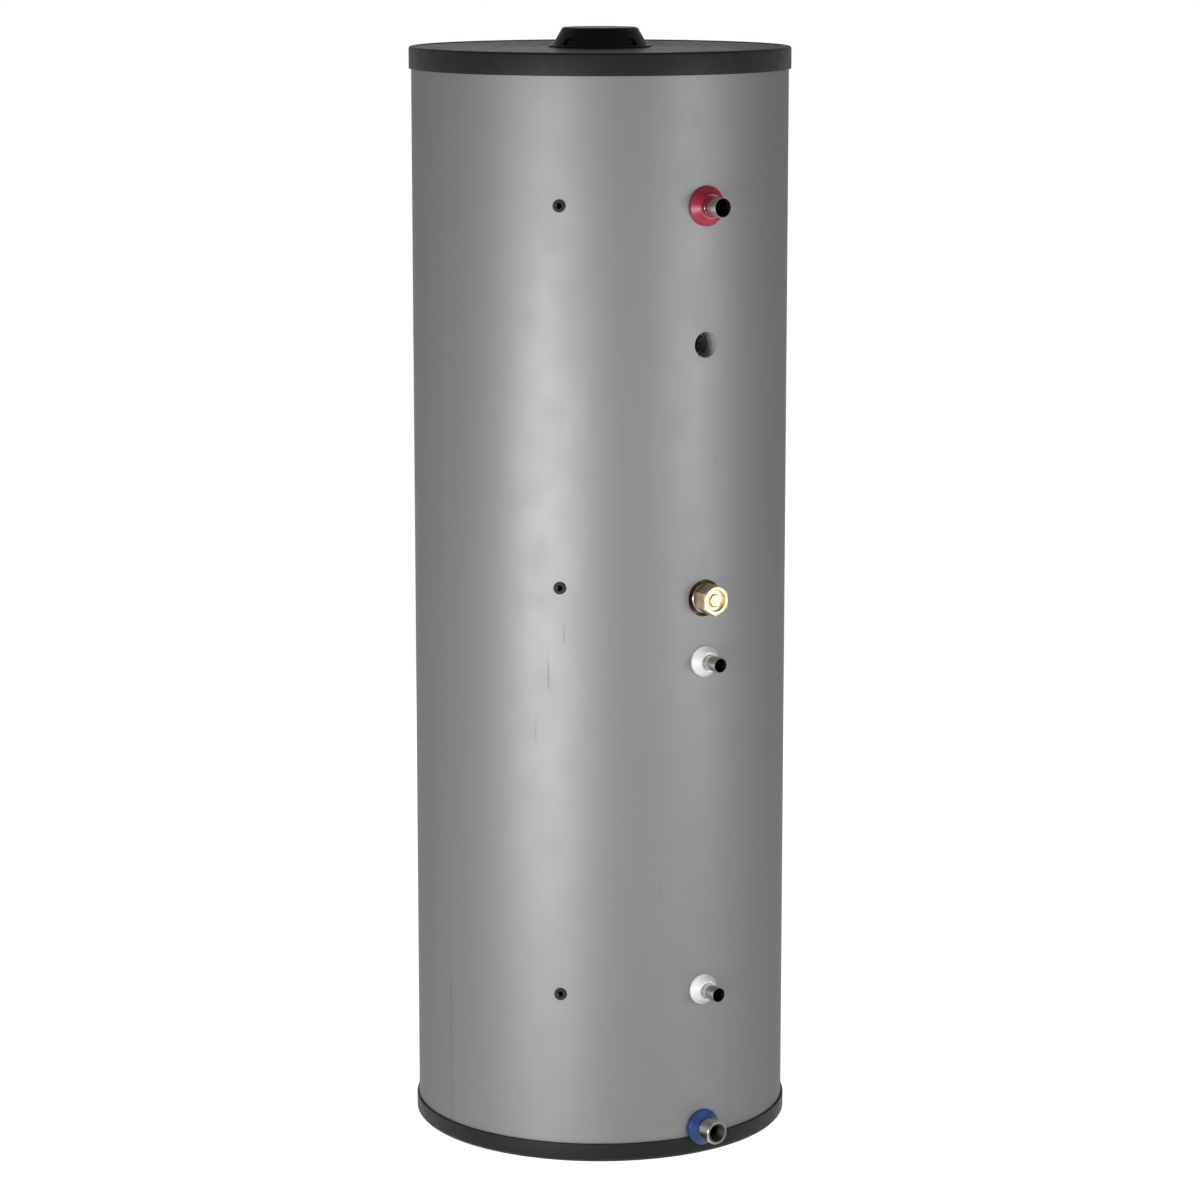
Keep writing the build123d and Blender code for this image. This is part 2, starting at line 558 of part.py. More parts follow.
# ---------------------------------------------------------------- top cover and access cap
LID_INNER_R = JACKET_R + 0.4
LID_UNDER_Z = LID_TOP_Z - COVER_WALL
WELL_R = 45.0               # well under the cap, where the foam is poured
WELL_WALL = 2.5
WELL_FLOOR_Z = LID_TOP_Z - 16.0
BUNG_R = 15.0
BUNG_DEPTH = 8.0
BUNG_HEAD = 3.0
BUNG_LIP = 4.0
LIP_WIDTH = 9.0             # raised edge of the cover
LIP_DROP = 1.2
with BuildPart() as top_cover:
    with BuildSketch(Plane.XZ):
        with BuildLine():
            Polyline(
                (LID_INNER_R, LID_RIM_Z), (COVER_R, LID_RIM_Z), (COVER_R, LID_TOP_Z),
                (COVER_R - LIP_WIDTH, LID_TOP_Z), (COVER_R - LIP_WIDTH - 2, LID_TOP_Z - LIP_DROP),
                (WELL_R, LID_TOP_Z - LIP_DROP), (WELL_R, WELL_FLOOR_Z), (BUNG_R, WELL_FLOOR_Z),
                (BUNG_R, WELL_FLOOR_Z - WELL_WALL), (WELL_R + WELL_WALL, WELL_FLOOR_Z - WELL_WALL),
                (WELL_R + WELL_WALL, LID_UNDER_Z), (LID_INNER_R, LID_UNDER_Z), close=True,
            )
        make_face()
    revolve(axis=Axis.Z)
    rim_edges = top_cover.edges().filter_by(GeomType.CIRCLE)
    fillet(rim_edges.filter_by(lambda e: e.radius > COVER_R - 0.1 and e.center().Z > 1590), radius=3.5)
    fillet(rim_edges.filter_by(lambda e: e.radius > COVER_R - 0.1 and e.center().Z < 1590), radius=1.2)
finish(top_cover.part, "top_cover")

with BuildPart() as foam_bung:
    with BuildSketch(Plane.XY.offset(WELL_FLOOR_Z)):
        Circle(BUNG_R + BUNG_LIP)
    extrude(amount=BUNG_HEAD)
    with BuildSketch(Plane.XY.offset(WELL_FLOOR_Z)):
        Circle(BUNG_R)
    extrude(amount=-BUNG_DEPTH)
    fillet(foam_bung.edges().group_by(Axis.Z)[-1], radius=1.2)
finish(foam_bung.part, "foam_bung")

CAP_FOOT_R = 75.0
CAP_FOOT = 2.4
CAP_BASE_R = 69.0           # foot of the sloping side
CAP_TOP_R = 54.5
CAP_WALL = 2.5
CAP_INNER_R = 63.0          # inside of the foot
LUGS = 4                    # lugs that centre the cap in the well
LUG_WIDTH = 18.0
LUG_OUT = 43.7              # a lug's outer face; its corners just clear the well
LUG_DEEP = 9.0              # how far a lug reaches into the well
GRIP_ANGLES = (-78.0, 12.0, 102.0, 192.0)
GRIP_WIDTH = 15.0
GRIP_HEIGHT = 10.0
GRIP_R = 62.0               # back wall of a grip recess
cap_low = LID_TOP_Z - LIP_DROP
grip_z = cap_low + CAP_FOOT + GRIP_HEIGHT / 2
with BuildPart() as top_cap:
    with BuildSketch(Plane.XZ):
        with BuildLine():
            Polyline(
                (CAP_INNER_R, cap_low), (CAP_FOOT_R, cap_low), (CAP_FOOT_R, cap_low + CAP_FOOT),
                (CAP_BASE_R, cap_low + CAP_FOOT + 0.6), (CAP_TOP_R + 1, CAP_TOP_Z - 1.8),
                (CAP_TOP_R - 1.5, CAP_TOP_Z), (0, CAP_TOP_Z), (0, CAP_TOP_Z - CAP_WALL),
                (CAP_TOP_R - 3, CAP_TOP_Z - CAP_WALL), (CAP_INNER_R, cap_low + 8), close=True,
            )
        make_face()
    revolve(axis=Axis.Z)
    with BuildSketch(Plane.XY.offset(CAP_TOP_Z - CAP_WALL)):
        with PolarLocations(LUG_OUT - CAP_WALL / 2, LUGS):
            Rectangle(CAP_WALL, LUG_WIDTH)
    extrude(amount=LID_TOP_Z - LUG_DEEP - CAP_TOP_Z + CAP_WALL)
    for angle in GRIP_ANGLES:
        # the recess's own walls, then the recess
        with BuildSketch(fitting_plane(angle, GRIP_R - CAP_WALL, grip_z)):
            Rectangle(GRIP_WIDTH + 2 * CAP_WALL, GRIP_HEIGHT)
        extrude(amount=CAP_WALL + 1)
        with BuildSketch(fitting_plane(angle, GRIP_R, grip_z + 1)):
            Rectangle(GRIP_WIDTH, GRIP_HEIGHT)
        extrude(amount=CAP_FOOT_R - GRIP_R, mode=Mode.SUBTRACT)
finish(top_cap.part, "top_cap")

# ---------------------------------------------------------------- insulation foam
# the foam goes around the support ring's rib; the room inside the ring stays empty
foam_hollows = (
    drum(SUPPORT_R, PAN_FLOOR, support_top_z + CUT_CLEAR),
    drum(SUPPORT_R + RIB_GAP + RIB_WALL, PAN_FLOOR, PAN_FLOOR + RIB_HEIGHT),
    drum(WELL_R + WELL_WALL, WELL_FLOOR_Z - WELL_WALL, LID_UNDER_Z),
    drum(BUNG_R, WELL_FLOOR_Z - BUNG_DEPTH, LID_UNDER_Z), vessel_solid,
)
# holes through the foam: angle, height, radius, distance from the axis where the hole starts
hole_start = VESSEL_R - TOOL_LEAD
foam_holes = [(PIPE_ANGLE, HOT_Z, HOT_PIPE_R, hole_start)]
foam_holes += [(PIPE_ANGLE, height, PIPE_R, hole_start) for height in (FLOW_Z, RETURN_Z)]
foam_holes += [
    (PIPE_ANGLE, COLD_Z, PIPE_R, SUPPORT_R - TOOL_LEAD),
    (PIPE_ANGLE, RELIEF_Z, RELIEF_BOSS_R, hole_start),
    (PIPE_ANGLE, RELIEF_Z, RELIEF_HOLE_R, RELIEF_FACE),
    (PIPE_ANGLE, HEATER_Z, HEATER_BOSS_R, hole_start),
    (PIPE_ANGLE, HEATER_Z, HEATER_HOLE_R, JACKET_R - HEATER_RECESS),
]
for height in POCKET_HEIGHTS.values():
    foam_holes.append((POCKET_ANGLE, height, POCKET_R, hole_start))
    foam_holes.append((POCKET_ANGLE, height, GROMMET_NECK_R, JACKET_R - GROMMET_DEEP))

with BuildPart() as insulation:
    with BuildSketch(Plane.XY.offset(PAN_FLOOR)):
        Circle(FOAM_R)
    extrude(amount=LID_UNDER_Z - PAN_FLOOR)
    for angle, height, radius, start in foam_holes:
        with BuildSketch(fitting_plane(angle, start, height)):
            Circle(radius)
        extrude(amount=JACKET_R + CUT_CLEAR - start, mode=Mode.SUBTRACT)
    for hollow in foam_hollows:
        add(hollow, mode=Mode.SUBTRACT)
finish(insulation.part, "insulation")


# ---------------------------------------------------------------- pipe collars
def collar(height, radius, hub_r, depth, edge, pipe_r=PIPE_R, gap=GAP, over_rim=False):
    """A cone around a stub: an upright edge, a straight flank in to a flat hub, and a back that is
    shaped to the jacket it rests on."""
    back = JACKET_R - CUT_CLEAR
    front = JACKET_R + depth
    bore = pipe_r + gap
    jacket_room = drum(JACKET_R + gap, height - 2 * radius, height + 2 * radius)
    rim_room = drum(COVER_R + gap, height - 2 * radius, PAN_RIM_Z + gap) if over_rim else None
    with BuildPart() as ring:
        with BuildSketch(profile_plane(PIPE_ANGLE, height)):
            with BuildLine():
                Polyline(
                    (back, bore), (back, radius),
                    (JACKET_R + edge - COLLAR_CHAMFER, radius), (JACKET_R + edge, radius - COLLAR_CHAMFER),
                    (front, hub_r), (front, bore + COLLAR_CHAMFER), (front - COLLAR_CHAMFER, bore),
                    close=True,
                )
            make_face()
        revolve(axis=fitting_axis(PIPE_ANGLE, height))
        add(jacket_room, mode=Mode.SUBTRACT)
        if rim_room:
            add(rim_room, mode=Mode.SUBTRACT)
    return ring.part


finish(collar(HOT_Z, 28.5, 18.0, COLLAR_HEIGHT, 3.0, pipe_r=HOT_PIPE_R), "hot_collar")
finish(collar(FLOW_Z, 22.5, 14.5, COLLAR_HEIGHT, 3.0), "coil_flow_collar")
finish(collar(RETURN_Z, 22.5, 14.5, COLLAR_HEIGHT, 3.0), "coil_return_collar")
# the cold collar sits trapped between the jacket and the socket, tight on its stub
finish(collar(COLD_Z, 26.5, 15.0, COLD_COLLAR_HEIGHT, 5.0, gap=0.0, over_rim=True), "cold_collar")
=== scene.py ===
# Dressed model of the insulated hot water cylinder.
#
# Metres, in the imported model's frame: +Z is up and the origin is on the floor at the cylinder's
# axis. The pipe column faces -Y. Angles run round the axis from -Y towards +X, in degrees.
from math import cos, pi, radians, sin, tan

import bpy
import numpy as np
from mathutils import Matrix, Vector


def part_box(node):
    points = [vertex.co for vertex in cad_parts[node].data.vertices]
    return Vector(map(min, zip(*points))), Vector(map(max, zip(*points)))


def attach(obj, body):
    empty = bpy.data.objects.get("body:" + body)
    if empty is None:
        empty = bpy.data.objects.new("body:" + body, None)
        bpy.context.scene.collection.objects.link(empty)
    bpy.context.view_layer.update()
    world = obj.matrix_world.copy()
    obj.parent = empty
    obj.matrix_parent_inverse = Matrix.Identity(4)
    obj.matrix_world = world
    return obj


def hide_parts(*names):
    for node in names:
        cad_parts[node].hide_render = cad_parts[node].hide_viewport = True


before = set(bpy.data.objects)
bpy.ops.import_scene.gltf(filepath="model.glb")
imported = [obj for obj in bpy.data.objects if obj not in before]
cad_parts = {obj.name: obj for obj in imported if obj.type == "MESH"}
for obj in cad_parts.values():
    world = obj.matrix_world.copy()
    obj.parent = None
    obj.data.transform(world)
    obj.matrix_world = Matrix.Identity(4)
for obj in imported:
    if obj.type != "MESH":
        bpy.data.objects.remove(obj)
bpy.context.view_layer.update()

# ---------------------------------------- sizes, from the frame


def span(node):
    """Lowest and highest corner of a CAD node, as arrays."""
    low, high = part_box(node)
    return np.array(low), np.array(high)


def middle_z(node):
    """Height of a fitting's axis."""
    low, high = span(node)
    return (low[2] + high[2]) / 2


def radius_of(node):
    """Radius of a round fitting in the pipe column."""
    low, high = span(node)
    return (high[0] - low[0]) / 2


def reach_of(node):
    """Distances from the cylinder's axis at which a fitting in the pipe column starts and ends."""
    low, high = span(node)
    return -high[1], -low[1]


jacket_low, jacket_high = span("outer_jacket")
cover_low, cover_high = span("top_cover")
pan_high = span("base_pan")[1]
cap_high = span("top_cap")[1]
bung_low, bung_high = span("foam_bung")

JACKET_R = jacket_high[0]
COVER_R = cover_high[0]
SHEET = 0.0006              # thickness of the painted sheet
PIPE_R = radius_of("coil_flow_stub")
PIPE_WALL = 0.001
PIPE_ANGLE = 0.0            # the pipe column
POCKET_ANGLE = -45.0        # the sensor pocket column
SEAM_ANGLE = -86.0          # the jacket's lap seam
GAP = 0.0003                # clearance between a sliding piece and what it slides on
NEAR = 1e-5                 # radii closer than this count as one
TINY = 1e-6                 # allowance for rounding

HOT_Z = middle_z("hot_outlet_stub")
RELIEF_Z = middle_z("relief_port_boss")
HEATER_Z = middle_z("heater_boss")
FLOW_Z = middle_z("coil_flow_stub")
RETURN_Z = middle_z("coil_return_stub")
COLD_Z = middle_z("cold_inlet_stub")
POCKETS = ("upper", "middle", "lower")

STUB_HOLE_GAP = 0.0015      # holes in the jacket: room round a stub, less for the cold one
COLD_HOLE_GAP = 0.001
RELIEF_HOLE_R = 0.0185
HEATER_HOLE_R = 0.027
POCKET_HOLE_R = 0.0072      # filled by the grommet's neck


# ---------------------------------------- surfaces
def rounded(corners, steps=6):
    """An outline from (along, out, fillet) corners.

    A fillet is the arc that touches both sides of its corner: it starts one tangent length before
    the corner, and its points are corner-arc centre plus radius times unit vectors that turn evenly
    from one side's normal to the other's.
    """
    spots = np.array([c[:2] for c in corners])
    outline = []
    for i, (along, out, fillet) in enumerate(corners):
        here = np.array((along, out))
        if not fillet:
            outline.append(here[None])
            continue
        back = spots[i - 1] - here
        ahead = spots[(i + 1) % len(spots)] - here
        back /= np.linalg.norm(back)
        ahead /= np.linalg.norm(ahead)
        half = np.arccos(np.clip(back @ ahead, -1, 1)) / 2
        middle = (back + ahead) / np.linalg.norm(back + ahead)
        centre = here + middle * fillet / sin(half)
        first = here + back * fillet / tan(half) - centre
        last = here + ahead * fillet / tan(half) - centre
        turn = np.linspace(0, 1, steps + 1)[:, None]
        swing = pi - 2 * half
        arc = first * np.sin((1 - turn) * swing) + last * np.sin(turn * swing)
        outline.append(centre + arc / sin(swing))
    return np.vstack(outline)


def divided(outline, longest, closed=True):
    """The outline with its long straight runs cut into even steps."""
    ends = np.roll(outline, -1, axis=0) if closed else outline[1:]
    starts = outline if closed else outline[:-1]
    cuts = []
    for start, end in zip(starts, ends):
        count = max(1, int(np.ceil(np.linalg.norm(end - start) / longest - TINY)))
        cuts.append(start + (end - start) * np.arange(count)[:, None] / count)
    if not closed:
        cuts.append(outline[-1:])
    return np.vstack(cuts)


def corners_of(faces):
    """Quads, and the triangles that quads with two corners in one place become."""
    doubled = faces == np.roll(faces, -1, axis=1)
    count = doubled.sum(axis=1)
    thin = faces[count == 1]
    start = doubled[count == 1].argmax(axis=1) + 1
    triangles = thin[np.arange(len(thin))[:, None], (start[:, None] + np.arange(3)) % 4]
    return faces[count == 0], triangles


def mesh_of(name, points, faces, sharp=32.0, closed=True):
    """A welded mesh from points and quads. Closed ones are turned outwards by their signed volume,
    the sum over faces of corner . (next corner x corner after) / 6."""
    _, first, welded = np.unique(np.round(points, 7), axis=0, return_index=True, return_inverse=True)
    spots = points[first]
    quads, triangles = corners_of(welded.reshape(-1)[faces])
    if closed:
        fans = np.vstack([quads[:, [0, 1, 2]], quads[:, [0, 2, 3]], triangles])
        a, b, c = spots[fans[:, 0]], spots[fans[:, 1]], spots[fans[:, 2]]
        if np.einsum("ij,ij->i", a, np.cross(b, c)).sum() < 0:
            quads, triangles = quads[:, ::-1], triangles[:, ::-1]
    mesh = bpy.data.meshes.new(name)
    mesh.from_pydata(spots.tolist(), [], quads.tolist() + triangles.tolist())
    mesh.shade_smooth()
    mesh.set_sharp_from_angle(angle=radians(sharp))
    return mesh


def grid_faces(rows, columns, wrap_rows, wrap_columns):
    """Quads between neighbouring points of a grid, closed across its ends where asked."""
    index = np.arange(rows * columns).reshape(rows, columns)
    if wrap_rows:
        index = np.vstack([index, index[:1]])
    if wrap_columns:
        index = np.hstack([index, index[:, :1]])
    corners = (index[:-1, :-1], index[1:, :-1], index[1:, 1:], index[:-1, 1:])
    return np.stack(corners, axis=-1).reshape(-1, 4)


def upright(along, out, turn):
    """Places height, radius and turn round the cylinder's own axis."""
    return np.stack([out * np.sin(turn), -out * np.cos(turn), along + 0 * turn], axis=-1)


def sideways(angle, height):
    """Places distance from the cylinder's axis, radius and turn round a fitting's axis."""
    a = radians(angle)
    forward = np.array((sin(a), -cos(a), 0))
    across = np.array((cos(a), sin(a), 0))

    def place(along, out, turn):
        flat = along[..., None] * forward + (out * np.sin(turn))[..., None] * across
        return flat + (height + out * np.cos(turn))[..., None] * np.array((0, 0, 1))
    return place


def turned(name, outline, place, turns=144, shape=None, sharp=32.0):
    """A solid of revolution: every outline point (along, out) carried round the axis.

    The outline is a closed loop, or starts and ends on the axis. shape(along, out, turn) may bend
    the surface before it is placed.
    """
    turn = np.arange(turns)[:, None] * 2 * pi / turns
    along = np.repeat(outline[None, :, 0], turns, axis=0)
    out = np.repeat(outline[None, :, 1], turns, axis=0)
    turn = np.repeat(turn, len(outline), axis=1)
    if shape:
        along, out, turn = shape(along, out, turn)
    on_axis = outline[0, 1] == 0 and outline[-1, 1] == 0
    faces = grid_faces(turns, len(outline), True, not on_axis)
    return mesh_of(name, place(along, out, turn).reshape(-1, 3), faces, sharp)


def added(name, data):
    """A new object in the scene."""
    obj = bpy.data.objects.new(name, data)
    bpy.context.scene.collection.objects.link(obj)
    return obj


def piece(mesh, material, body, slot, *nodes):
    """A finished piece: it rides on a body, takes the given material and stands for CAD nodes. Its slot
    argument is not used.
    """
    obj = added(mesh.name, mesh)
    mesh.materials.append(material)
    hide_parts(*nodes)
    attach(obj, body)


# ---------------------------------------- finishes
BRIGHT_STEEL = (0.66, 0.65, 0.63)
STAINED_STEEL = (0.50, 0.46, 0.42)


class Nodes:
    """A shader tree that is built by short calls."""

    def __init__(self, tree):
        self.tree = tree

    def feed(self, socket, value):
        """Links a socket to another, or sets it to a plain value."""
        if isinstance(value, bpy.types.NodeSocket):
            self.tree.links.new(value, socket)
        else:
            socket.default_value = value

    def add(self, kind, *values, **named):
        """A node whose first inputs take values in turn, and others by name."""
        node = self.tree.nodes.new("ShaderNode" + kind)
        for socket, value in zip(node.inputs, values):
            self.feed(socket, value)
        for name, value in named.items():
            self.feed(node.inputs[name], value)
        return node

    def math(self, operation, a, b):
        """One arithmetic step on two numbers."""
        node = self.add("Math", a, b)
        node.operation = operation
        return node.outputs[0]

    def scaled(self, value, low, high, to_low=0.0, to_high=1.0):
        """value from low..high to to_low..to_high, held at the ends."""
        node = self.add("MapRange", Value=value)
        ends = {"From Min": low, "From Max": high, "To Min": to_low, "To Max": to_high}
        for socket, number in ends.items():
            node.inputs[socket].default_value = number
        return node.outputs["Result"]

    def seen_directly(self):
        """1 on camera, glossy and transmission rays, 0 on others."""
        ray = self.add("LightPath").outputs
        bright = self.math("MAXIMUM", ray["Is Camera Ray"], ray["Is Glossy Ray"])
        return self.math("MAXIMUM", bright, ray["Is Transmission Ray"])


class Finish(Nodes):
    """One procedural material: its principled shader, and patterns on object coordinates that feed it."""

    def __init__(self, name, colour, roughness, **constants):
        self.material = bpy.data.materials.new(name)
        self.material.use_nodes = True
        super().__init__(self.material.node_tree)
        self.shader = self.tree.nodes["Principled BSDF"]
        self.shader.inputs["Base Color"].default_value = (*colour, 1)
        self.shader.inputs["Roughness"].default_value = roughness
        self.material.diffuse_color = (*colour, 1)
        for key, value in constants.items():
            socket = key.replace("_", " ").title().replace("Ior", "IOR")
            self.shader.inputs[socket].default_value = value
        self.spot = self.add("TexCoord").outputs["Object"]
        self.normal = None

    def noise(self, size, detail=2.0, stretch=(1, 1, 1), at=(0, 0, 0)):
        """Soft noise whose blotches are about size across, longer along an axis where stretch says."""
        place = self.add("Mapping", Vector=self.spot, Location=at)
        place.inputs["Scale"].default_value = [1 / (size * s) for s in stretch]
        return self.add("TexNoise", Vector=place.outputs[0], Scale=1.0, Detail=detail).outputs["Fac"]

    def cells(self, size):
        """Distance to the nearest of random points that lie about size apart."""
        return self.add("TexVoronoi", Vector=self.spot, Scale=1 / size).outputs["Distance"]

    def along(self, axis):
        """One object coordinate."""
        return self.add("SeparateXYZ", Vector=self.spot).outputs[axis]

    def blended(self, share, a, b):
        """Colour a, turning to b as share goes from 0 to 1."""
        node = self.add("Mix", share)
        node.data_type = "RGBA"
        for socket, colour in ((node.inputs[6], a), (node.inputs[7], b)):
            self.feed(socket, colour if isinstance(colour, bpy.types.NodeSocket) else (*colour, 1))
        return node.outputs[2]

    def mixed(self, share, a, b):
        """Number a, turning to b as share goes from 0 to 1."""
        node = self.add("Mix", share)
        self.feed(node.inputs[2], a)
        self.feed(node.inputs[3], b)
        return node.outputs[0]

    def bore_shade_mask(self, height, radius, edge=0.0003):
        """1 nearer than radius to the axis of a fitting in the pipe column, 0 further out."""
        flat = self.add("VectorMath", self.spot, (1, 0, 1))
        flat.operation = "MULTIPLY"
        away = self.add("VectorMath", flat.outputs[0], (0, 0, height))
        away.operation = "DISTANCE"
        return self.scaled(away.outputs["Value"], radius, radius + edge, 1, 0)

    def at_tip(self, tip, width):
        """1 at a fitting's end, 0 further back than width."""
        return self.scaled(self.along("Y"), -tip, width - tip, 1, 0)

    def colour(self, value):
        """Feeds the base colour."""
        self.feed(self.shader.inputs["Base Color"], value)

    def roughness(self, value):
        """Feeds the roughness."""
        self.feed(self.shader.inputs["Roughness"], value)

    def relief(self, height, depth, strength=1.0):
        """Bump: height 0..1 stands depth metres proud. Calls add up."""
        node = self.add("Bump", Height=height, Distance=depth, Strength=strength)
        if self.normal:
            self.tree.links.new(self.normal, node.inputs["Normal"])
        self.normal = node.outputs[0]
        self.feed(self.shader.inputs["Normal"], self.normal)


def satin_grey_paint():
    """Coil-coated sheet: metallic grey satin, slight orange peel, rolling waves and handling scuffs."""
    paint = Finish(
        "satin_grey_paint", (0.235, 0.235, 0.237), 0.54, metallic=0.66, specular_ior_level=0.3,
        specular_tint=(0.35, 0.35, 0.35, 1),
    )
    cloud = paint.noise(0.22, detail=3, stretch=(1, 1, 2.5))
    streak = paint.noise(0.012, detail=2, stretch=(1, 1, 60))
    base = paint.blended(cloud, (0.228, 0.228, 0.231), (0.246, 0.246, 0.247))
    base = paint.blended(paint.scaled(streak, 0.3, 0.7, 0, 0.35), base, (0.228, 0.229, 0.232))
    # handling dust near the floor and faint scuffs
    low = paint.scaled(paint.along("Z"), 0.03, 0.22, 0.5, 0)
    dust = paint.math("MULTIPLY", low, paint.scaled(paint.noise(0.03, detail=5), 0.45, 0.75))
    base = paint.blended(dust, base, (0.265, 0.26, 0.247))
    paint.colour(base)
    scuff = paint.scaled(paint.noise(0.004, detail=1, stretch=(1, 1, 22), at=(3, 1, 2)), 0.74, 0.80)
    rough = paint.scaled(paint.noise(0.05, detail=4), 0.3, 0.7, 0.52, 0.56)
    paint.roughness(paint.math("ADD", rough, paint.math("MULTIPLY", scuff, 0.10)))
    paint.relief(paint.noise(0.0035, detail=2), 0.00002)
    paint.relief(paint.noise(0.35, detail=1, stretch=(1, 1, 3)), 0.0008)
    return paint.material


def black_moulding(name, colour, roughness, gloss, grain):
    """Black moulded plastic with a spark-eroded grain, paler where it has been rubbed."""
    plastic = Finish(name, colour, roughness, specular_ior_level=gloss)
    rubbed = plastic.scaled(plastic.noise(0.02, detail=6), 0.55, 0.78)
    plastic.colour(plastic.blended(rubbed, colour, [c * 1.6 for c in colour]))
    haze = plastic.noise(0.012, detail=4)
    plastic.roughness(plastic.scaled(haze, 0.3, 0.7, roughness - 0.05, roughness + 0.06))
    plastic.relief(plastic.cells(grain), 0.00006, 0.6)
    plastic.relief(plastic.noise(0.06, detail=1), 0.0003)
    return plastic.material


def coloured_moulding(name, colour, deep, roughness):
    """Injection-moulded plastic collar: flow marks in a deeper shade, and an uneven sheen."""
    plastic = Finish(
        name, colour, roughness, specular_ior_level=0.5, subsurface_weight=0.08, subsurface_scale=0.002,
    )
    flow = plastic.noise(0.009, detail=3, stretch=(1, 3, 1))
    plastic.colour(plastic.blended(plastic.scaled(flow, 0.35, 0.7), colour, deep))
    haze = plastic.noise(0.004, detail=3)
    plastic.roughness(plastic.scaled(haze, 0.3, 0.7, roughness - 0.05, roughness + 0.07))
    plastic.relief(plastic.noise(0.0012, detail=2), 0.00003)
    return plastic.material


def turned_metal(name, colour, stain, roughness):
    """Metal worked on a lathe: fine rings across a fitting's axis, with a stain in blotches."""
    metal = Finish(name, colour, roughness, metallic=1.0)
    blotch = metal.scaled(metal.noise(0.011, detail=5), 0.42, 0.72)
    metal.colour(metal.blended(blotch, colour, stain))
    rings = metal.noise(0.0004, detail=3, stretch=(80, 1, 80))
    metal.roughness(metal.scaled(rings, 0.3, 0.7, roughness - 0.06, roughness + 0.08))
    metal.relief(rings, 0.00002, 0.7)
    return metal.material


def drawn_tube(name, height, bore, tip):
    """Drawn stainless tube: bright and finely lined outside, with a dull sawn end and a bore painted dark as
    shade.
    """
    tube = Finish(name, BRIGHT_STEEL, 0.2, metallic=1.0)
    blotch = tube.scaled(tube.noise(0.011, detail=5), 0.42, 0.72)
    lines = tube.noise(0.0004, detail=3, stretch=(80, 1, 80))
    inside = tube.bore_shade_mask(height, bore + 0.0002)
    end = tube.at_tip(tip, 0.0005)
    tone = tube.blended(blotch, BRIGHT_STEEL, STAINED_STEEL)
    tone = tube.blended(end, tone, (0.17, 0.165, 0.155))
    # painted shade: the bore is coloured near black for the shade deep inside it
    tube.colour(tube.blended(inside, tone, (0.060, 0.045, 0.038)))
    rough = tube.scaled(lines, 0.3, 0.7, 0.14, 0.28)
    rough = tube.mixed(end, rough, 0.45)
    tube.roughness(tube.mixed(inside, rough, 0.5))
    tube.relief(lines, 0.00002, 0.7)
    return tube.material


def brushed_sheet():
    """Stainless vessel sheet: brushed round its girth, with a straw heat tint in patches."""
    steel = Finish("vessel_steel", (0.56, 0.55, 0.53), 0.34, metallic=1.0)
    grain = steel.noise(0.0006, detail=3, stretch=(60, 60, 1))
    tint = steel.scaled(steel.noise(0.09, detail=4), 0.45, 0.75)
    steel.colour(steel.blended(tint, (0.57, 0.56, 0.54), (0.50, 0.44, 0.36)))
    steel.roughness(steel.scaled(grain, 0.3, 0.7, 0.28, 0.42))
    steel.relief(grain, 0.00002, 0.6)
    return steel.material


def element_alloy():
    """Heater element sheath: dull nickel alloy with an oxide bloom."""
    alloy = Finish("element_alloy", (0.30, 0.29, 0.28), 0.45, metallic=1.0)
    bloom = alloy.scaled(alloy.noise(0.02, detail=5), 0.4, 0.7)
    alloy.colour(alloy.blended(bloom, (0.33, 0.32, 0.31), (0.19, 0.16, 0.14)))
    alloy.roughness(alloy.scaled(alloy.noise(0.004, detail=3), 0.3, 0.7, 0.4, 0.55))
    alloy.relief(alloy.noise(0.0015, detail=3), 0.00003)
    return alloy.material


def rubber(name, colour, roughness):
    """Moulded rubber: matt, with fine grain and a grey bloom."""
    soft = Finish(name, colour, roughness, specular_ior_level=0.3)
    bloom = soft.scaled(soft.noise(0.006, detail=5), 0.5, 0.8)
    pale = [c * 1.6 + 0.012 for c in colour]
    soft.colour(soft.blended(bloom, colour, pale))
    soft.roughness(soft.scaled(bloom, 0, 1, roughness, min(1.0, roughness + 0.1)))
    soft.relief(soft.noise(0.0009, detail=3), 0.00004)
    return soft.material


def poured_foam():
    """Rigid foam: grey skin with open cells and darker pours."""
    foam = Finish("poured_foam", (0.40, 0.395, 0.38), 0.9, specular_ior_level=0.15)
    pour = foam.scaled(foam.noise(0.05, detail=4), 0.35, 0.7)
    foam.colour(foam.blended(pour, (0.44, 0.435, 0.42), (0.30, 0.295, 0.28)))
    foam.roughness(foam.scaled(pour, 0, 1, 0.82, 0.95))
    foam.relief(foam.cells(0.0022), 0.0005)
    foam.relief(foam.noise(0.014, detail=3), 0.001)
    return foam.material


paint = satin_grey_paint()
cover_plastic = black_moulding("black_cover_plastic", (0.008, 0.008, 0.0084), 0.50, 0.22, 0.0011)
cap_plastic = black_moulding("black_cap_plastic", (0.007, 0.007, 0.0074), 0.44, 0.14, 0.0009)
stub_steel = turned_metal("drawn_stub_steel", BRIGHT_STEEL, STAINED_STEEL, 0.20)
boss_steel = turned_metal("turned_boss_steel", (0.58, 0.55, 0.52), (0.46, 0.36, 0.31), 0.30)
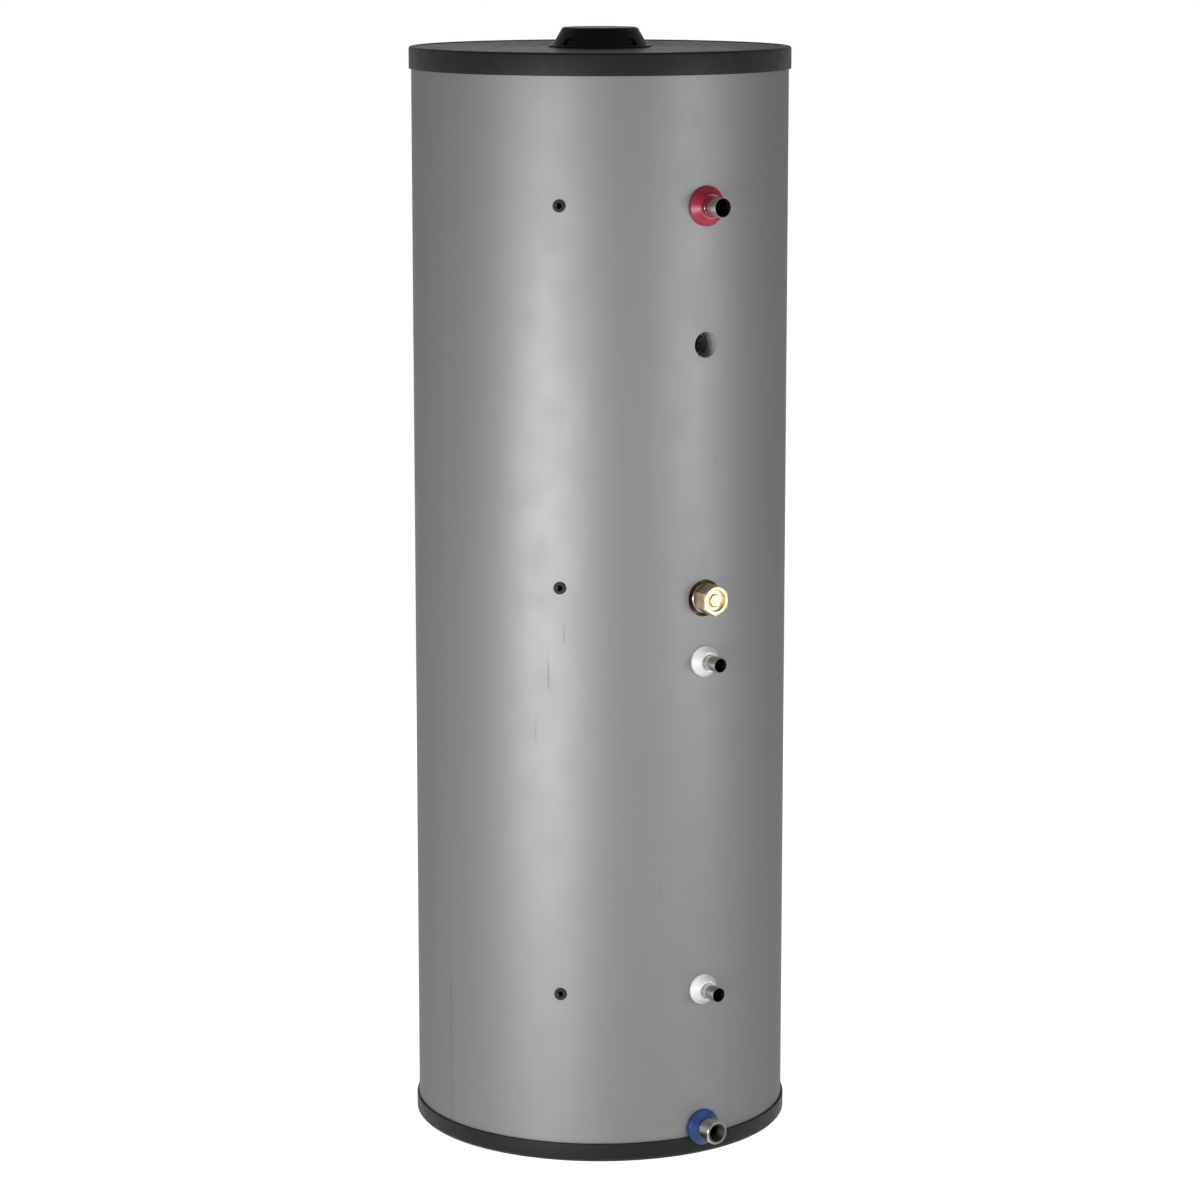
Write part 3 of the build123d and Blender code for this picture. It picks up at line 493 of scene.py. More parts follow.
# painted shade: the relief port's boss is coloured near black for the shade in the deep hole it sits in
painted_shade_relief_steel = turned_metal("painted_shade_boss_steel", (0.11, 0.10, 0.095), (0.06, 0.045, 0.04), 0.45)
vessel_steel = brushed_sheet()
element_steel = element_alloy()
brass = turned_metal("turned_brass", (0.78, 0.64, 0.41), (0.62, 0.43, 0.23), 0.30)
grommet_rubber = rubber("black_grommet_rubber", (0.010, 0.010, 0.010), 0.62)
gasket_rubber = rubber("gasket_rubber", (0.045, 0.030, 0.026), 0.7)
hot_plastic = coloured_moulding("crimson_collar_plastic", (0.42, 0.012, 0.060), (0.27, 0.006, 0.032), 0.34)
cold_plastic = coloured_moulding("blue_collar_plastic", (0.008, 0.060, 0.21), (0.005, 0.028, 0.12), 0.32)
coil_plastic = coloured_moulding("white_collar_plastic", (0.87, 0.87, 0.86), (0.80, 0.79, 0.77), 0.42)
foam = poured_foam()


# ---------------------------------------- painted sheet jacket
BLOCK_HALF = 0.036          # half the width of the patch around a pipe column hole
POCKET_BLOCK_HALF = 0.016
SEAM_GROOVE = 0.0008        # width and depth of the line at the lap seam
SEAM_DEPTH = 0.0004
SEAM_LINES = (0.5, 0.625)   # edges of its floor and of its walls, from its middle, in widths
SEAM_OPEN_Z = 0.33          # below this the lap stands slightly open
SEAM_OPEN_FADE = 0.03
SEAM_CLOSED = 0.35          # share of the groove's depth where the lap is closed
ARC_STEP = 0.0072           # the sheet's grid, round the jacket and up it
HEIGHT_STEP = 0.018
BLOCK_CELLS = 8             # grid cells across a patch
BLOCK_MARGIN = 0.004        # least distance from a patch to the jacket's lower edge
HOLE_RINGS = 6
RING_CROWDING = 1.3         # rings stand closer together near the hole


def sheet_lines(low, high, step, blocks, extra=()):
    """Grid lines at an even step, with each block's own lines in place of those near it."""
    count = int(round((high - low) / step))
    lines = np.linspace(low, high, count + 1)
    own = [np.linspace(centre - half, centre + half, cells + 1) for centre, half, cells in blocks]
    for line in own:
        near = (lines > line[0] - step / 3) & (lines < line[-1] + step / 3)
        lines = lines[~near | np.isin(lines, (low, high))]
    for line in extra:
        lines = lines[abs(lines - line) > step / 3]
    return np.unique(np.round(np.concatenate([lines, *own, np.array(extra)]), 7))


def sheet_radius(arc, height):
    """The sheet's outer radius: plain, less the groove's depth at the lap seam."""
    seam = radians(SEAM_ANGLE) * JACKET_R
    opened = 1 / (1 + np.exp((height - SEAM_OPEN_Z) / SEAM_OPEN_FADE))
    in_groove = abs(arc - seam) < SEAM_GROOVE / 2 + TINY
    return JACKET_R - in_groove * SEAM_DEPTH * (SEAM_CLOSED + (1 - SEAM_CLOSED) * opened)


def hole_patch(arcs, heights, centre, half, radius):
    """Rings from a hole's circle out to its block's edge: each point runs straight from the circle
    to the edge point that lies in the same direction."""
    s, z = centre
    across = arcs[abs(arcs - s) < half[0] + TINY]
    upward = heights[abs(heights - z) < half[1] + TINY]
    edge = np.vstack([
        np.stack([across[:-1], np.full(len(across) - 1, upward[0])], axis=1),
        np.stack([np.full(len(upward) - 1, across[-1]), upward[:-1]], axis=1),
        np.stack([across[:0:-1], np.full(len(across) - 1, upward[-1])], axis=1),
        np.stack([np.full(len(upward) - 1, across[0]), upward[:0:-1]], axis=1),
    ])
    away = edge - np.array(centre)
    circle = np.array(centre) + radius * away / np.linalg.norm(away, axis=1, keepdims=True)
    share = (np.linspace(0, 1, HOLE_RINGS + 1) ** RING_CROWDING)[:, None, None]
    return circle + (edge - circle) * share


def jacket_holes():
    """Arc, height and radius of each hole, with half the width and half the height of its patch."""
    pipe_column = (
        (HOT_Z, radius_of("hot_outlet_stub") + STUB_HOLE_GAP), (RELIEF_Z, RELIEF_HOLE_R),
        (HEATER_Z, HEATER_HOLE_R), (FLOW_Z, PIPE_R + STUB_HOLE_GAP), (RETURN_Z, PIPE_R + STUB_HOLE_GAP),
        (COLD_Z, PIPE_R + COLD_HOLE_GAP),
    )
    holes = [(PIPE_ANGLE, z, radius, BLOCK_HALF) for z, radius in pipe_column]
    for name in POCKETS:
        holes.append((POCKET_ANGLE, middle_z(f"{name}_pocket_grommet"), POCKET_HOLE_R, POCKET_BLOCK_HALF))
    return [
        (radians(angle) * JACKET_R, z, radius, half, min(half, z - jacket_low[2] - BLOCK_MARGIN))
        for angle, z, radius, half in holes
    ]


def unrolled_sheet():
    """Points and quads of the jacket unrolled as (arc, height), with its holes."""
    holes = jacket_holes()
    seam = radians(SEAM_ANGLE) * JACKET_R
    groove = [seam + side * SEAM_GROOVE * part for side in (-1, 1) for part in SEAM_LINES]
    columns = {(s, half, BLOCK_CELLS) for s, _, _, half, _ in holes}
    rows = [(z, rise, BLOCK_CELLS) for _, z, _, _, rise in holes]
    arcs = sheet_lines(-pi * JACKET_R, pi * JACKET_R, ARC_STEP, columns, groove)
    heights = sheet_lines(jacket_low[2], jacket_high[2], HEIGHT_STEP, rows)

    s, z = np.meshgrid(arcs, heights, indexing="ij")
    points = [np.stack([s, z], axis=-1).reshape(-1, 2)]
    faces = grid_faces(len(arcs), len(heights), False, False)
    middle = points[0][faces].mean(axis=1)
    for hole_s, hole_z, _, half, rise in holes:
        inside = (abs(middle[:, 0] - hole_s) < half) & (abs(middle[:, 1] - hole_z) < rise)
        faces, middle = faces[~inside], middle[~inside]
    faces = [faces]
    for hole_s, hole_z, radius, half, rise in holes:
        patch = hole_patch(arcs, heights, (hole_s, hole_z), (half, rise), radius)
        count = sum(len(p) for p in points)
        faces.append(grid_faces(*patch.shape[:2], False, True) + count)
        points.append(patch.reshape(-1, 2))
    return np.vstack(points), np.vstack(faces)


def jacket_sheet():
    """The unrolled sheet rolled up at its radius, with an inner wall one sheet's thickness behind it
    and strips that close every edge."""
    flat, faces = unrolled_sheet()
    turn = flat[:, 0] / JACKET_R
    outer = upright(flat[:, 1], sheet_radius(flat[:, 0], flat[:, 1]), turn)
    inner = upright(flat[:, 1], np.full(len(flat), JACKET_R - SHEET), turn)
    # weld the outer wall, so that only its real edges are left open
    _, first, welded = np.unique(np.round(outer, 7), axis=0, return_index=True, return_inverse=True)
    outer, inner, faces = outer[first], inner[first], welded.reshape(-1)[faces]
    sides = np.stack([faces, np.roll(faces, -1, axis=1)], axis=-1).reshape(-1, 2)
    keys = sides.min(axis=1) * len(outer) + sides.max(axis=1)
    _, where, uses = np.unique(keys, return_index=True, return_counts=True)
    start, end = sides[where[uses == 1]].T
    count = len(outer)
    strips = np.stack([end, start, start + count, end + count], axis=-1)
    solid = np.vstack([faces, faces[:, ::-1] + count, strips])
    return mesh_of("jacket_sheet", np.vstack([outer, inner]), solid)


piece(jacket_sheet(), paint, "tank", "grey_jacket", "outer_jacket")

# ---------------------------------------- base pan and top cover
COVER_INNER_R = JACKET_R + 0.0004   # both covers slip over the jacket
PAN_FLOOR = 0.004
PAN_BEVEL = 0.005           # slope under the pan's edge
RIB_R = 0.1705              # rib that centres the support ring
RIB_WALL = 0.003
RIB_TOP = PAN_FLOOR + 0.005
COVER_TURNS = 288
pan = rounded((
    (0, 0, 0), (0, COVER_R - PAN_BEVEL, 0.004), (PAN_BEVEL, COVER_R, 0.0042), (pan_high[2], COVER_R, 0.0012),
    (pan_high[2], COVER_INNER_R, 0.0008), (PAN_FLOOR, COVER_INNER_R, 0), (PAN_FLOOR, RIB_R + RIB_WALL, 0),
    (RIB_TOP, RIB_R + RIB_WALL, 0.0006), (RIB_TOP, RIB_R, 0.0006), (PAN_FLOOR, RIB_R, 0), (PAN_FLOOR, 0, 0),
))
pan_mesh = turned("base_pan_moulding", pan, upright, turns=COVER_TURNS)
piece(pan_mesh, cover_plastic, "tank", "black_cover", "base_pan")

LID_TOP = cover_high[2]
LID_WALL = 0.003
LIP_WIDTH = 0.009           # raised edge of the cover
LIP_DROP = 0.0012
LIP_SLOPE = 0.002
WELL_R = 0.045              # well under the cap, where the foam is poured
WELL_WALL = 0.0025
WELL_FLOOR = LID_TOP - 0.016
BUNG_R = 0.015
lid_face = LID_TOP - LIP_DROP
lid = rounded((
    (cover_low[2], COVER_INNER_R, 0.0008), (cover_low[2], COVER_R, 0.0012), (LID_TOP, COVER_R, 0.0035),
    (LID_TOP, COVER_R - LIP_WIDTH, 0.0006), (lid_face, COVER_R - LIP_WIDTH - LIP_SLOPE, 0.0006),
    (lid_face, WELL_R, 0.0012), (WELL_FLOOR, WELL_R, 0.001), (WELL_FLOOR, BUNG_R, 0.0005),
    (WELL_FLOOR - WELL_WALL, BUNG_R, 0.0005), (WELL_FLOOR - WELL_WALL, WELL_R + WELL_WALL, 0.001),
    (LID_TOP - LID_WALL, WELL_R + WELL_WALL, 0.001), (LID_TOP - LID_WALL, COVER_INNER_R, 0.001),
))
lid_mesh = turned("top_cover_moulding", lid, upright, turns=COVER_TURNS)
piece(lid_mesh, cover_plastic, "tank", "black_cover", "top_cover")

DIMPLE_R = 0.006            # gate mark in the middle of the bung, with sloping sides
DIMPLE_DEPTH = 0.001
bung_head_r, bung_top = bung_high[0], bung_high[2]
dimple_floor = bung_top - DIMPLE_DEPTH
bung = rounded((
    (bung_low[2], 0, 0), (bung_low[2], BUNG_R, 0.001), (WELL_FLOOR, BUNG_R, 0),
    (WELL_FLOOR, bung_head_r, 0.0003), (bung_top, bung_head_r, 0.0012), (bung_top, DIMPLE_R, 0.0006),
    (dimple_floor, DIMPLE_R - 0.001, 0.0006), (dimple_floor, 0, 0),
))
piece(turned("foam_fill_bung", bung, upright, turns=96), cap_plastic, "tank", "black_cap", "foam_bung")

# ---------------------------------------- access cap
CAP_FOOT_R = cap_high[0]
CAP_FOOT = 0.0024
CAP_STEP = 0.0006           # height and width of the step from the foot to the skirt
CAP_BASE_R = 0.069
CAP_TOP_R = 0.0545
CAP_SHOULDER = 0.0018       # height of the bevel round the cap's top
CAP_WALL = 0.0025
CAP_INNER_R = 0.063
CAP_INSIDE_RISE = 0.008     # where the cap's inside starts to narrow, above the lid's face
LUG_ANGLES = (0.0, 90.0, 180.0, 270.0)
LUG_HALF = 0.009            # half a lug's width
LUG_OUT = 0.0437            # a lug's outer face
LUG_DEEP = 0.009            # how far a lug reaches into the well
LUG_TAPER = 0.002           # height of its narrowing foot
GRIP_ANGLES = (-78.0, 12.0, 102.0, 192.0)
GRIP_HALF = 0.0075          # half the width of a grip recess
GRIP_R = 0.062              # back wall of a grip recess
GRIP_LOW = lid_face + CAP_FOOT + 0.001
GRIP_HIGH = GRIP_LOW + 0.010
GRIP_RINGS = (0.0034, 0.0067)       # rings of points in a recess, above its lower edge
GRIP_EDGE = 0.0001          # its lower and upper edges are doubled this far apart


def grip_recesses(height, out, turn):
    """Presses a flat-backed recess into the cap's skirt at each grip angle: inside the recess's
    width and height the radius is at most the back wall's distance over the cosine of the angle
    from the recess's middle."""
    skirt = out > CAP_INNER_R + CAP_WALL * 0.2
    for angle in GRIP_ANGLES:
        away = (turn - radians(angle) + pi) % (2 * pi) - pi
        inside = skirt & (abs(away) < GRIP_HALF / GRIP_R) & (height > GRIP_LOW) & (height < GRIP_HIGH)
        out = np.where(inside, np.minimum(out, GRIP_R / np.cos(away)), out)
    return height, out, turn


def cap_outline():
    """The cap's section, with doubled points where the grip recesses start and end."""
    foot, top = lid_face + CAP_FOOT, cap_high[2]
    base, shoulder, ceiling = foot + CAP_STEP, top - CAP_SHOULDER, top - CAP_WALL
    shoulder_r = CAP_TOP_R + 0.001
    slope = (shoulder_r - CAP_BASE_R) / (shoulder - base)
    edges = (GRIP_LOW - GRIP_EDGE, GRIP_LOW + GRIP_EDGE, GRIP_HIGH - GRIP_EDGE, GRIP_HIGH + GRIP_EDGE)
    rings = sorted([*edges, *(GRIP_LOW + rise for rise in GRIP_RINGS)])
    return rounded([
        (lid_face, CAP_INNER_R, 0.0005), (lid_face, CAP_FOOT_R, 0.0004), (foot, CAP_FOOT_R, 0.0008),
        (base, CAP_BASE_R + CAP_STEP, 0), *((z, CAP_BASE_R + slope * (z - base), 0) for z in rings),
        (shoulder, shoulder_r, 0.0008), (top, CAP_TOP_R - 0.0015, 0.0012), (top, 0, 0),
        (ceiling, 0, 0), (ceiling, CAP_TOP_R - 0.003, 0.0006),
        (lid_face + CAP_INSIDE_RISE, CAP_INNER_R, 0.001),
    ])


def cap_lug(name, angle):
    """A lug that centres the cap in the well: its plan scaled by each ring's share and set at the
    ring's height. The first and last rings shrink to a point, which closes the ends."""
    a = radians(angle)
    half = CAP_WALL / 2
    plan = rounded([(x * LUG_HALF, y * half, 0.0008) for x, y in ((-1, -1), (1, -1), (1, 1), (-1, 1))])
    root, foot = cap_high[2] - half, LID_TOP - LUG_DEEP
    height, share = np.array(((root, 0), (root, 1), (foot + LUG_TAPER, 1), (foot, 0.9), (foot, 0))).T
    across, out = np.moveaxis(share[:, None, None] * plan, -1, 0)
    out = out + LUG_OUT - half
    points = np.stack([
        out * sin(a) + across * cos(a), across * sin(a) - out * cos(a), height[:, None] + 0 * out,
    ], axis=-1)
    return mesh_of(name, points.reshape(-1, 3), grid_faces(*out.shape, False, True))


cap = turned("access_cap", cap_outline(), upright, turns=360, shape=grip_recesses)
piece(cap, cap_plastic, "top_cap", "black_cap", "top_cap")
for number, angle in enumerate(LUG_ANGLES, 1):
    piece(cap_lug(f"cap_lug_{number}", angle), cap_plastic, "top_cap", "black_cap", "top_cap")

# ---------------------------------------- threads
PIPE_THREAD = 0.001814      # pitch, depth and inner radius of a G 3/4 thread
PIPE_THREAD_DEPTH = 0.00116
PIPE_THREAD_R = 0.01206
HEATER_THREAD = 0.0254 / 11     # pitch and depth of the heater's, with eleven turns an inch
HEATER_THREAD_DEPTH = 0.0009
HEATER_THREAD_R = 0.0166    # outer radius
THREADED_SHARP = 50         # edges of a threaded surface sharper than this stay sharp, in degrees


def helical(start, end, pitch, depth, limit):
    """A thread as a bend of a turned surface. Between start and end, radii near limit grow by depth
    times a triangle wave of distance over pitch less turn over a full turn, faded out at both ends."""
    def shape(along, out, turn):
        phase = (along / pitch - turn / (2 * pi)) % 1
        wave = 1 - abs(2 * phase - 1)
        fade = np.clip((along - start) / pitch, 0, 1) * np.clip((end - along) / pitch, 0, 1)
        on_thread = abs(out - limit) < NEAR
        return along, out + on_thread * depth * wave * fade, turn
    return shape


# ---------------------------------------- pipe stubs
MARK_DEPTH = 0.00025        # insertion mark rolled into a stub
MARK_WIDTH = 0.001
MARK_AHEAD = 0.001          # from the collar's front to the mark
COLLAR_DEPTH = 0.014
COLD_COLLAR_DEPTH = 0.012
SOCKET_LENGTH = 0.024       # of the cold stub's socket
SOCKET_THREAD_END = 0.018   # from its mouth
SOCKET_CHAMFER = 0.001


def pipe_stub(name, node):
    """A tube with a rolled mark just beyond its collar and a sawn end."""
    inner, tip = reach_of(node)
    outer = radius_of(node)
    bore = outer - PIPE_WALL
    mark = JACKET_R + COLLAR_DEPTH + MARK_AHEAD
    mark_end, mark_floor = mark + MARK_WIDTH, outer - MARK_DEPTH
    outline = rounded((
        (inner, bore, 0), (inner, outer, 0), (mark, outer, 0.0001), (mark, mark_floor, 0.0001),
        (mark_end, mark_floor, 0.0001), (mark_end, outer, 0.0001), (tip, outer, 0.00035),
        (tip, bore, 0.00035),
    ), steps=4)
    mesh = turned(name, outline, sideways(PIPE_ANGLE, middle_z(node)), turns=120)
    finish = drawn_tube(f"{name}_steel", middle_z(node), bore, tip)
    piece(mesh, finish, "tank", "stub_steel", node)


for name in ("hot_outlet", "coil_flow", "coil_return"):
    pipe_stub(f"{name}_pipe", f"{name}_stub")


def cold_socket():
    """The cold stub and its socket, threaded inside."""
    inner, tip = reach_of("cold_inlet_stub")
    socket_r = radius_of("cold_inlet_stub")
    bore = PIPE_R - PIPE_WALL
    back, mouth, thread_end = tip - SOCKET_LENGTH, tip - SOCKET_CHAMFER, tip - SOCKET_THREAD_END
    outline = divided(rounded((
        (inner, bore, 0), (inner, PIPE_R, 0), (back, PIPE_R, 0.0006), (back, socket_r, 0.0016),
        (tip, socket_r, 0.0014), (tip, PIPE_THREAD_R + SOCKET_CHAMFER, 0.0002), (mouth, PIPE_THREAD_R, 0),
        (thread_end, PIPE_THREAD_R, 0), (thread_end, bore, 0.0003),
    )), PIPE_THREAD / 8)
    mesh = turned(
        "cold_inlet_socket", outline, sideways(PIPE_ANGLE, COLD_Z), turns=96, sharp=THREADED_SHARP,
        shape=helical(thread_end, mouth, PIPE_THREAD, PIPE_THREAD_DEPTH, PIPE_THREAD_R),
    )
    finish = drawn_tube("cold_inlet_socket_steel", COLD_Z, PIPE_THREAD_R + PIPE_THREAD_DEPTH, tip)
    piece(mesh, finish, "tank", "stub_steel", "cold_inlet_stub")


cold_socket()


# ---------------------------------------- pipe collars
def against_jacket(height, gap, over_rim):
    """Keeps a collar's back on the jacket: no point is nearer the axis than the round wall behind
    it, root of (wall radius squared - sideways distance squared). Low down the wall is the pan's rim."""
    def shape(along, out, turn):
        level = height + out * np.cos(turn)
        rim = over_rim & (level < pan_high[2] + gap)
        wall = np.where(rim, COVER_R, JACKET_R) + gap
        return np.maximum(along, np.sqrt(wall ** 2 - (out * np.sin(turn)) ** 2)), out, turn
    return shape


def collar(name, node, body, material, slot, pipe_r, hub_r, depth, edge, gap=GAP, over_rim=False):
    """A cone round a stub: an upright edge, then a straight flank in to a flat hub. Its outline starts
    inside the jacket, and is pressed forward on to it."""
    radius, height = radius_of(node), middle_z(node)
    bore = pipe_r + gap
    back, front = JACKET_R - 0.004, JACKET_R + depth
    outline = divided(rounded((
        (back, bore, 0), (back, radius, 0), (JACKET_R + edge, radius, 0.001), (front, hub_r, 0.0015),
        (front, bore, 0.001),
    )), 0.0012)
    shape = against_jacket(height, gap, over_rim)
    piece(turned(name, outline, sideways(PIPE_ANGLE, height), shape=shape), material, body, slot, node)


collar(
    "hot_outlet_collar", "hot_collar", "hot_collar", hot_plastic, "red_collar",
    pipe_r=radius_of("hot_outlet_stub"), hub_r=0.018, depth=COLLAR_DEPTH, edge=0.003,
)
for name in ("flow", "return"):
    node = f"coil_{name}_collar"
    collar(
        f"coil_{name}_ring", node, node, coil_plastic, "white_collar",
        pipe_r=PIPE_R, hub_r=0.0145, depth=COLLAR_DEPTH, edge=0.003,
    )
collar(
    "cold_inlet_collar", "cold_collar", "tank", cold_plastic, "blue_collar",
    pipe_r=PIPE_R, hub_r=0.015, depth=COLD_COLLAR_DEPTH, edge=0.005, gap=0.0, over_rim=True,
)

# ---------------------------------------- relief port and heater boss
RELIEF_CHAMFER = 0.0012     # at the thread's mouth
RELIEF_THREAD_END = 0.0192  # behind the port's face
relief_r = radius_of("relief_port_boss")
relief_clear_r = PIPE_THREAD_R + RELIEF_CHAMFER
relief_back, relief_face = reach_of("relief_port_boss")
thread_out, thread_in = relief_face - RELIEF_CHAMFER, relief_face - RELIEF_THREAD_END
relief = divided(rounded((
    (relief_back, relief_clear_r, 0), (relief_back, relief_r, 0), (relief_face, relief_r, 0.001),
    (relief_face, relief_clear_r, 0.0002), (thread_out, PIPE_THREAD_R, 0), (thread_in, PIPE_THREAD_R, 0),
    (thread_in, relief_clear_r, 0),
)), PIPE_THREAD / 8)
relief_mesh = turned(
    "relief_port", relief, sideways(PIPE_ANGLE, RELIEF_Z), turns=96, sharp=THREADED_SHARP,
    shape=helical(thread_in, thread_out, PIPE_THREAD, PIPE_THREAD_DEPTH, PIPE_THREAD_R),
)
piece(relief_mesh, painted_shade_relief_steel, "tank", "boss_steel", "relief_port_boss")

boss_r = radius_of("heater_boss")
boss_back, boss_face = reach_of("heater_boss")
THREAD_RUN_OUT = 0.001      # plain length at the outer end of the heater's thread
boss_bore = HEATER_THREAD_R + GAP
boss = divided(rounded((
    (boss_back, boss_bore, 0), (boss_back, boss_r, 0), (boss_face, boss_r, 0.0012),
    (boss_face, boss_bore, 0.0006),
)), HEATER_THREAD / 6)
boss_mesh = turned(
    "heater_port", boss, sideways(PIPE_ANGLE, HEATER_Z), turns=96, sharp=THREADED_SHARP,
    shape=helical(boss_back, boss_face - THREAD_RUN_OUT, HEATER_THREAD, HEATER_THREAD_DEPTH, boss_bore),
)
piece(boss_mesh, boss_steel, "tank", "boss_steel", "heater_boss")

# ---------------------------------------- immersion heater
gasket_r = radius_of("heater_gasket")
gasket_front = reach_of("heater_gasket")[1]
gasket = rounded((
    (boss_face, boss_bore, 0.0003), (boss_face, gasket_r, 0.0006), (gasket_front, gasket_r, 0.0006),
    (gasket_front, boss_bore, 0.0003),
), steps=4)
gasket_mesh = turned("heater_joint_ring", gasket, sideways(PIPE_ANGLE, HEATER_Z), turns=120)
piece(gasket_mesh, gasket_rubber, "heater_gasket", "gasket", "heater_gasket")

head_start, head_end = reach_of("heater_head")
HEX_APOTHEM = 0.020
HEX_BEVEL = 0.0012          # at the hexagon's corners beside the gasket
HEX_CHAMFER = 0.0025        # at its outer end
GROOVE_R = 0.0155           # ring groove in the head's end, around its centre button
GROOVE_FLOOR = head_end - 0.006
BUTTON_R = 0.0095
BUTTON_END = head_end - 0.0015
SHANK_CHAMFER = 0.0012
shank_r = HEATER_THREAD_R - HEATER_THREAD_DEPTH
hex_corner_r = HEX_APOTHEM / cos(pi / 6)
hex_clear_r = hex_corner_r + 0.0003


def head_shape(along, out, turn):
    """Cuts the hexagon, which stands on a corner: its radius is the apothem over the cosine of the
    angle from the nearest flat's middle. The thread on the shank is the helical wave."""
    flat = turn % (pi / 3) - pi / 6
    on_hexagon = (along >= gasket_front - TINY) & (out > HEATER_THREAD_R + 0.001)
    out = np.where(on_hexagon, np.minimum(out, HEX_APOTHEM / np.cos(flat)), out)
    thread_end = gasket_front - THREAD_RUN_OUT
    thread = helical(head_start, thread_end, HEATER_THREAD, HEATER_THREAD_DEPTH, shank_r)
    return thread(along, out, turn)


head = divided(rounded((
    (head_start, 0, 0), (head_start, shank_r - SHANK_CHAMFER, 0.0005),
    (head_start + SHANK_CHAMFER, shank_r, 0), (gasket_front - 0.0002, shank_r, 0),
    (gasket_front, HEATER_THREAD_R, 0), (gasket_front, hex_corner_r - HEX_BEVEL, 0),
    (gasket_front + HEX_BEVEL, hex_clear_r, 0),
    (head_end - HEX_CHAMFER, hex_clear_r, 0), (head_end, HEX_APOTHEM - 0.0005, 0.0006),
    (head_end, GROOVE_R, 0.0007), (GROOVE_FLOOR, GROOVE_R - 0.0003, 0.0012), (GROOVE_FLOOR, BUTTON_R, 0.0012),
    (BUTTON_END, BUTTON_R - 0.001, 0.0014), (BUTTON_END, 0, 0),
)), 0.0008, closed=False)
head_mesh = turned("heater_head_brass", head, sideways(PIPE_ANGLE, HEATER_Z), shape=head_shape, sharp=28)
piece(head_mesh, brass, "immersion_heater", "brass", "heater_head")

# ---------------------------------------- sensor pockets and grommets
GROMMET_PROUD = 0.0026
GROMMET_NECK = 0.006        # length of the neck inside the jacket
GROMMET_R = 0.009
GROMMET_MOUTH_R = 0.0043    # the grommet's face covers the pocket's rim
FLANGE_BACK = JACKET_R - 0.001      # the flange's outline starts here, and is pressed on to the jacket
POCKET_R = 0.006
POCKET_BORE_R = 0.004
POCKET_CHAMFER = 0.0006
POCKET_DEPTH = 0.100
POCKET_END = 0.002          # thickness of its closed end


def on_jacket(height):
    """Seats a grommet's flange on the jacket, with its neck left inside the hole."""
    def shape(along, out, turn):
        wall = np.sqrt(JACKET_R ** 2 - (out * np.sin(turn)) ** 2)
        flange = out > POCKET_HOLE_R + NEAR
        return np.where(flange, np.maximum(along, wall), along), out, turn
    return shape


bottom = JACKET_R - POCKET_DEPTH
pocket = rounded((
    (bottom - POCKET_END, 0, 0), (bottom - POCKET_END, POCKET_R, 0.001), (JACKET_R, POCKET_R, 0.0003),
    (JACKET_R, POCKET_BORE_R + POCKET_CHAMFER, 0.0001), (JACKET_R - POCKET_CHAMFER, POCKET_BORE_R, 0.0001),
    (bottom, POCKET_BORE_R, 0.0005), (bottom, 0, 0),
), steps=4)
neck, face = JACKET_R - GROMMET_NECK, JACKET_R + GROMMET_PROUD
grommet = divided(rounded((
    (neck, POCKET_R, 0.0002), (neck, POCKET_HOLE_R, 0.0004), (JACKET_R + 0.0001, POCKET_HOLE_R, 0),
    (FLANGE_BACK, POCKET_HOLE_R + 0.0001, 0), (FLANGE_BACK, GROMMET_R, 0), (face, GROMMET_R, 0.0011),
    (face, GROMMET_MOUTH_R, 0.0008), (JACKET_R, GROMMET_MOUTH_R, 0), (JACKET_R, POCKET_R, 0),
)), 0.0006)
for name in POCKETS:
    z = middle_z(f"{name}_sensor_pocket")
    pocket_mesh = turned(f"{name}_pocket_tube", pocket, sideways(POCKET_ANGLE, z), turns=64)
    piece(pocket_mesh, stub_steel, "tank", "stub_steel", f"{name}_sensor_pocket")
    grommet_mesh = turned(
        f"{name}_pocket_bush", grommet, sideways(POCKET_ANGLE, z), turns=72, shape=on_jacket(z), sharp=40,
    )
    piece(grommet_mesh, grommet_rubber, "tank", "black_rubber", f"{name}_pocket_grommet")

# ---------------------------------------- heating coil
COIL_R = 0.150              # centreline radius of the coil's turns
COIL_PITCH = 0.038          # wanted pitch; the coil ends beside the pipe column, which sets the real one
COIL_TURN_IN = 14.0         # where the coil leaves its circle, in degrees before the pipe column
COIL_SEGMENTS = 80          # a turn
COIL_SIDES = 24             # round the tube


def coil_tube():
    """The coil's turns: a tube whose section is carried along a helix of radius R and even slope.

    At turn a the centre is R (sin a, -cos a), risen evenly. The section's axes are the outward
    direction and its cross product with the helix's heading. The outer wall runs up the coil and
    the bore runs back down, so that the two flat ends close the surface.
    """
    turn_in = radians(COIL_TURN_IN)
    rise = COIL_PITCH / (2 * pi) * tan(turn_in)
    low, high = RETURN_Z + rise, FLOW_Z - rise
    sweep = 2 * pi * round((high - low) / COIL_PITCH) - 2 * turn_in
    slope = np.arctan((high - low) / (sweep * COIL_R))

    share = np.linspace(0, 1, int(sweep / (2 * pi) * COIL_SEGMENTS) + 1)[:, None]
    turn = turn_in + sweep * share
    outward = np.hstack([np.sin(turn), -np.cos(turn), 0 * turn])
    heading = np.hstack([np.cos(turn) * cos(slope), np.sin(turn) * cos(slope), sin(slope) + 0 * turn])
    centre = COIL_R * outward + (low + (high - low) * share) * np.array((0, 0, 1))
    upward = np.cross(outward, heading)
    u = np.arange(COIL_SIDES)[None, :, None] * 2 * pi / COIL_SIDES
    section = np.cos(u) * outward[:, None] + np.sin(u) * upward[:, None]
    walls = [centre[:, None] + radius * section for radius in (PIPE_R, PIPE_R - PIPE_WALL)]
    points = np.vstack([walls[0], walls[1][::-1]])
    return mesh_of("coil_turns", points.reshape(-1, 3), grid_faces(*points.shape[:2], True, True))


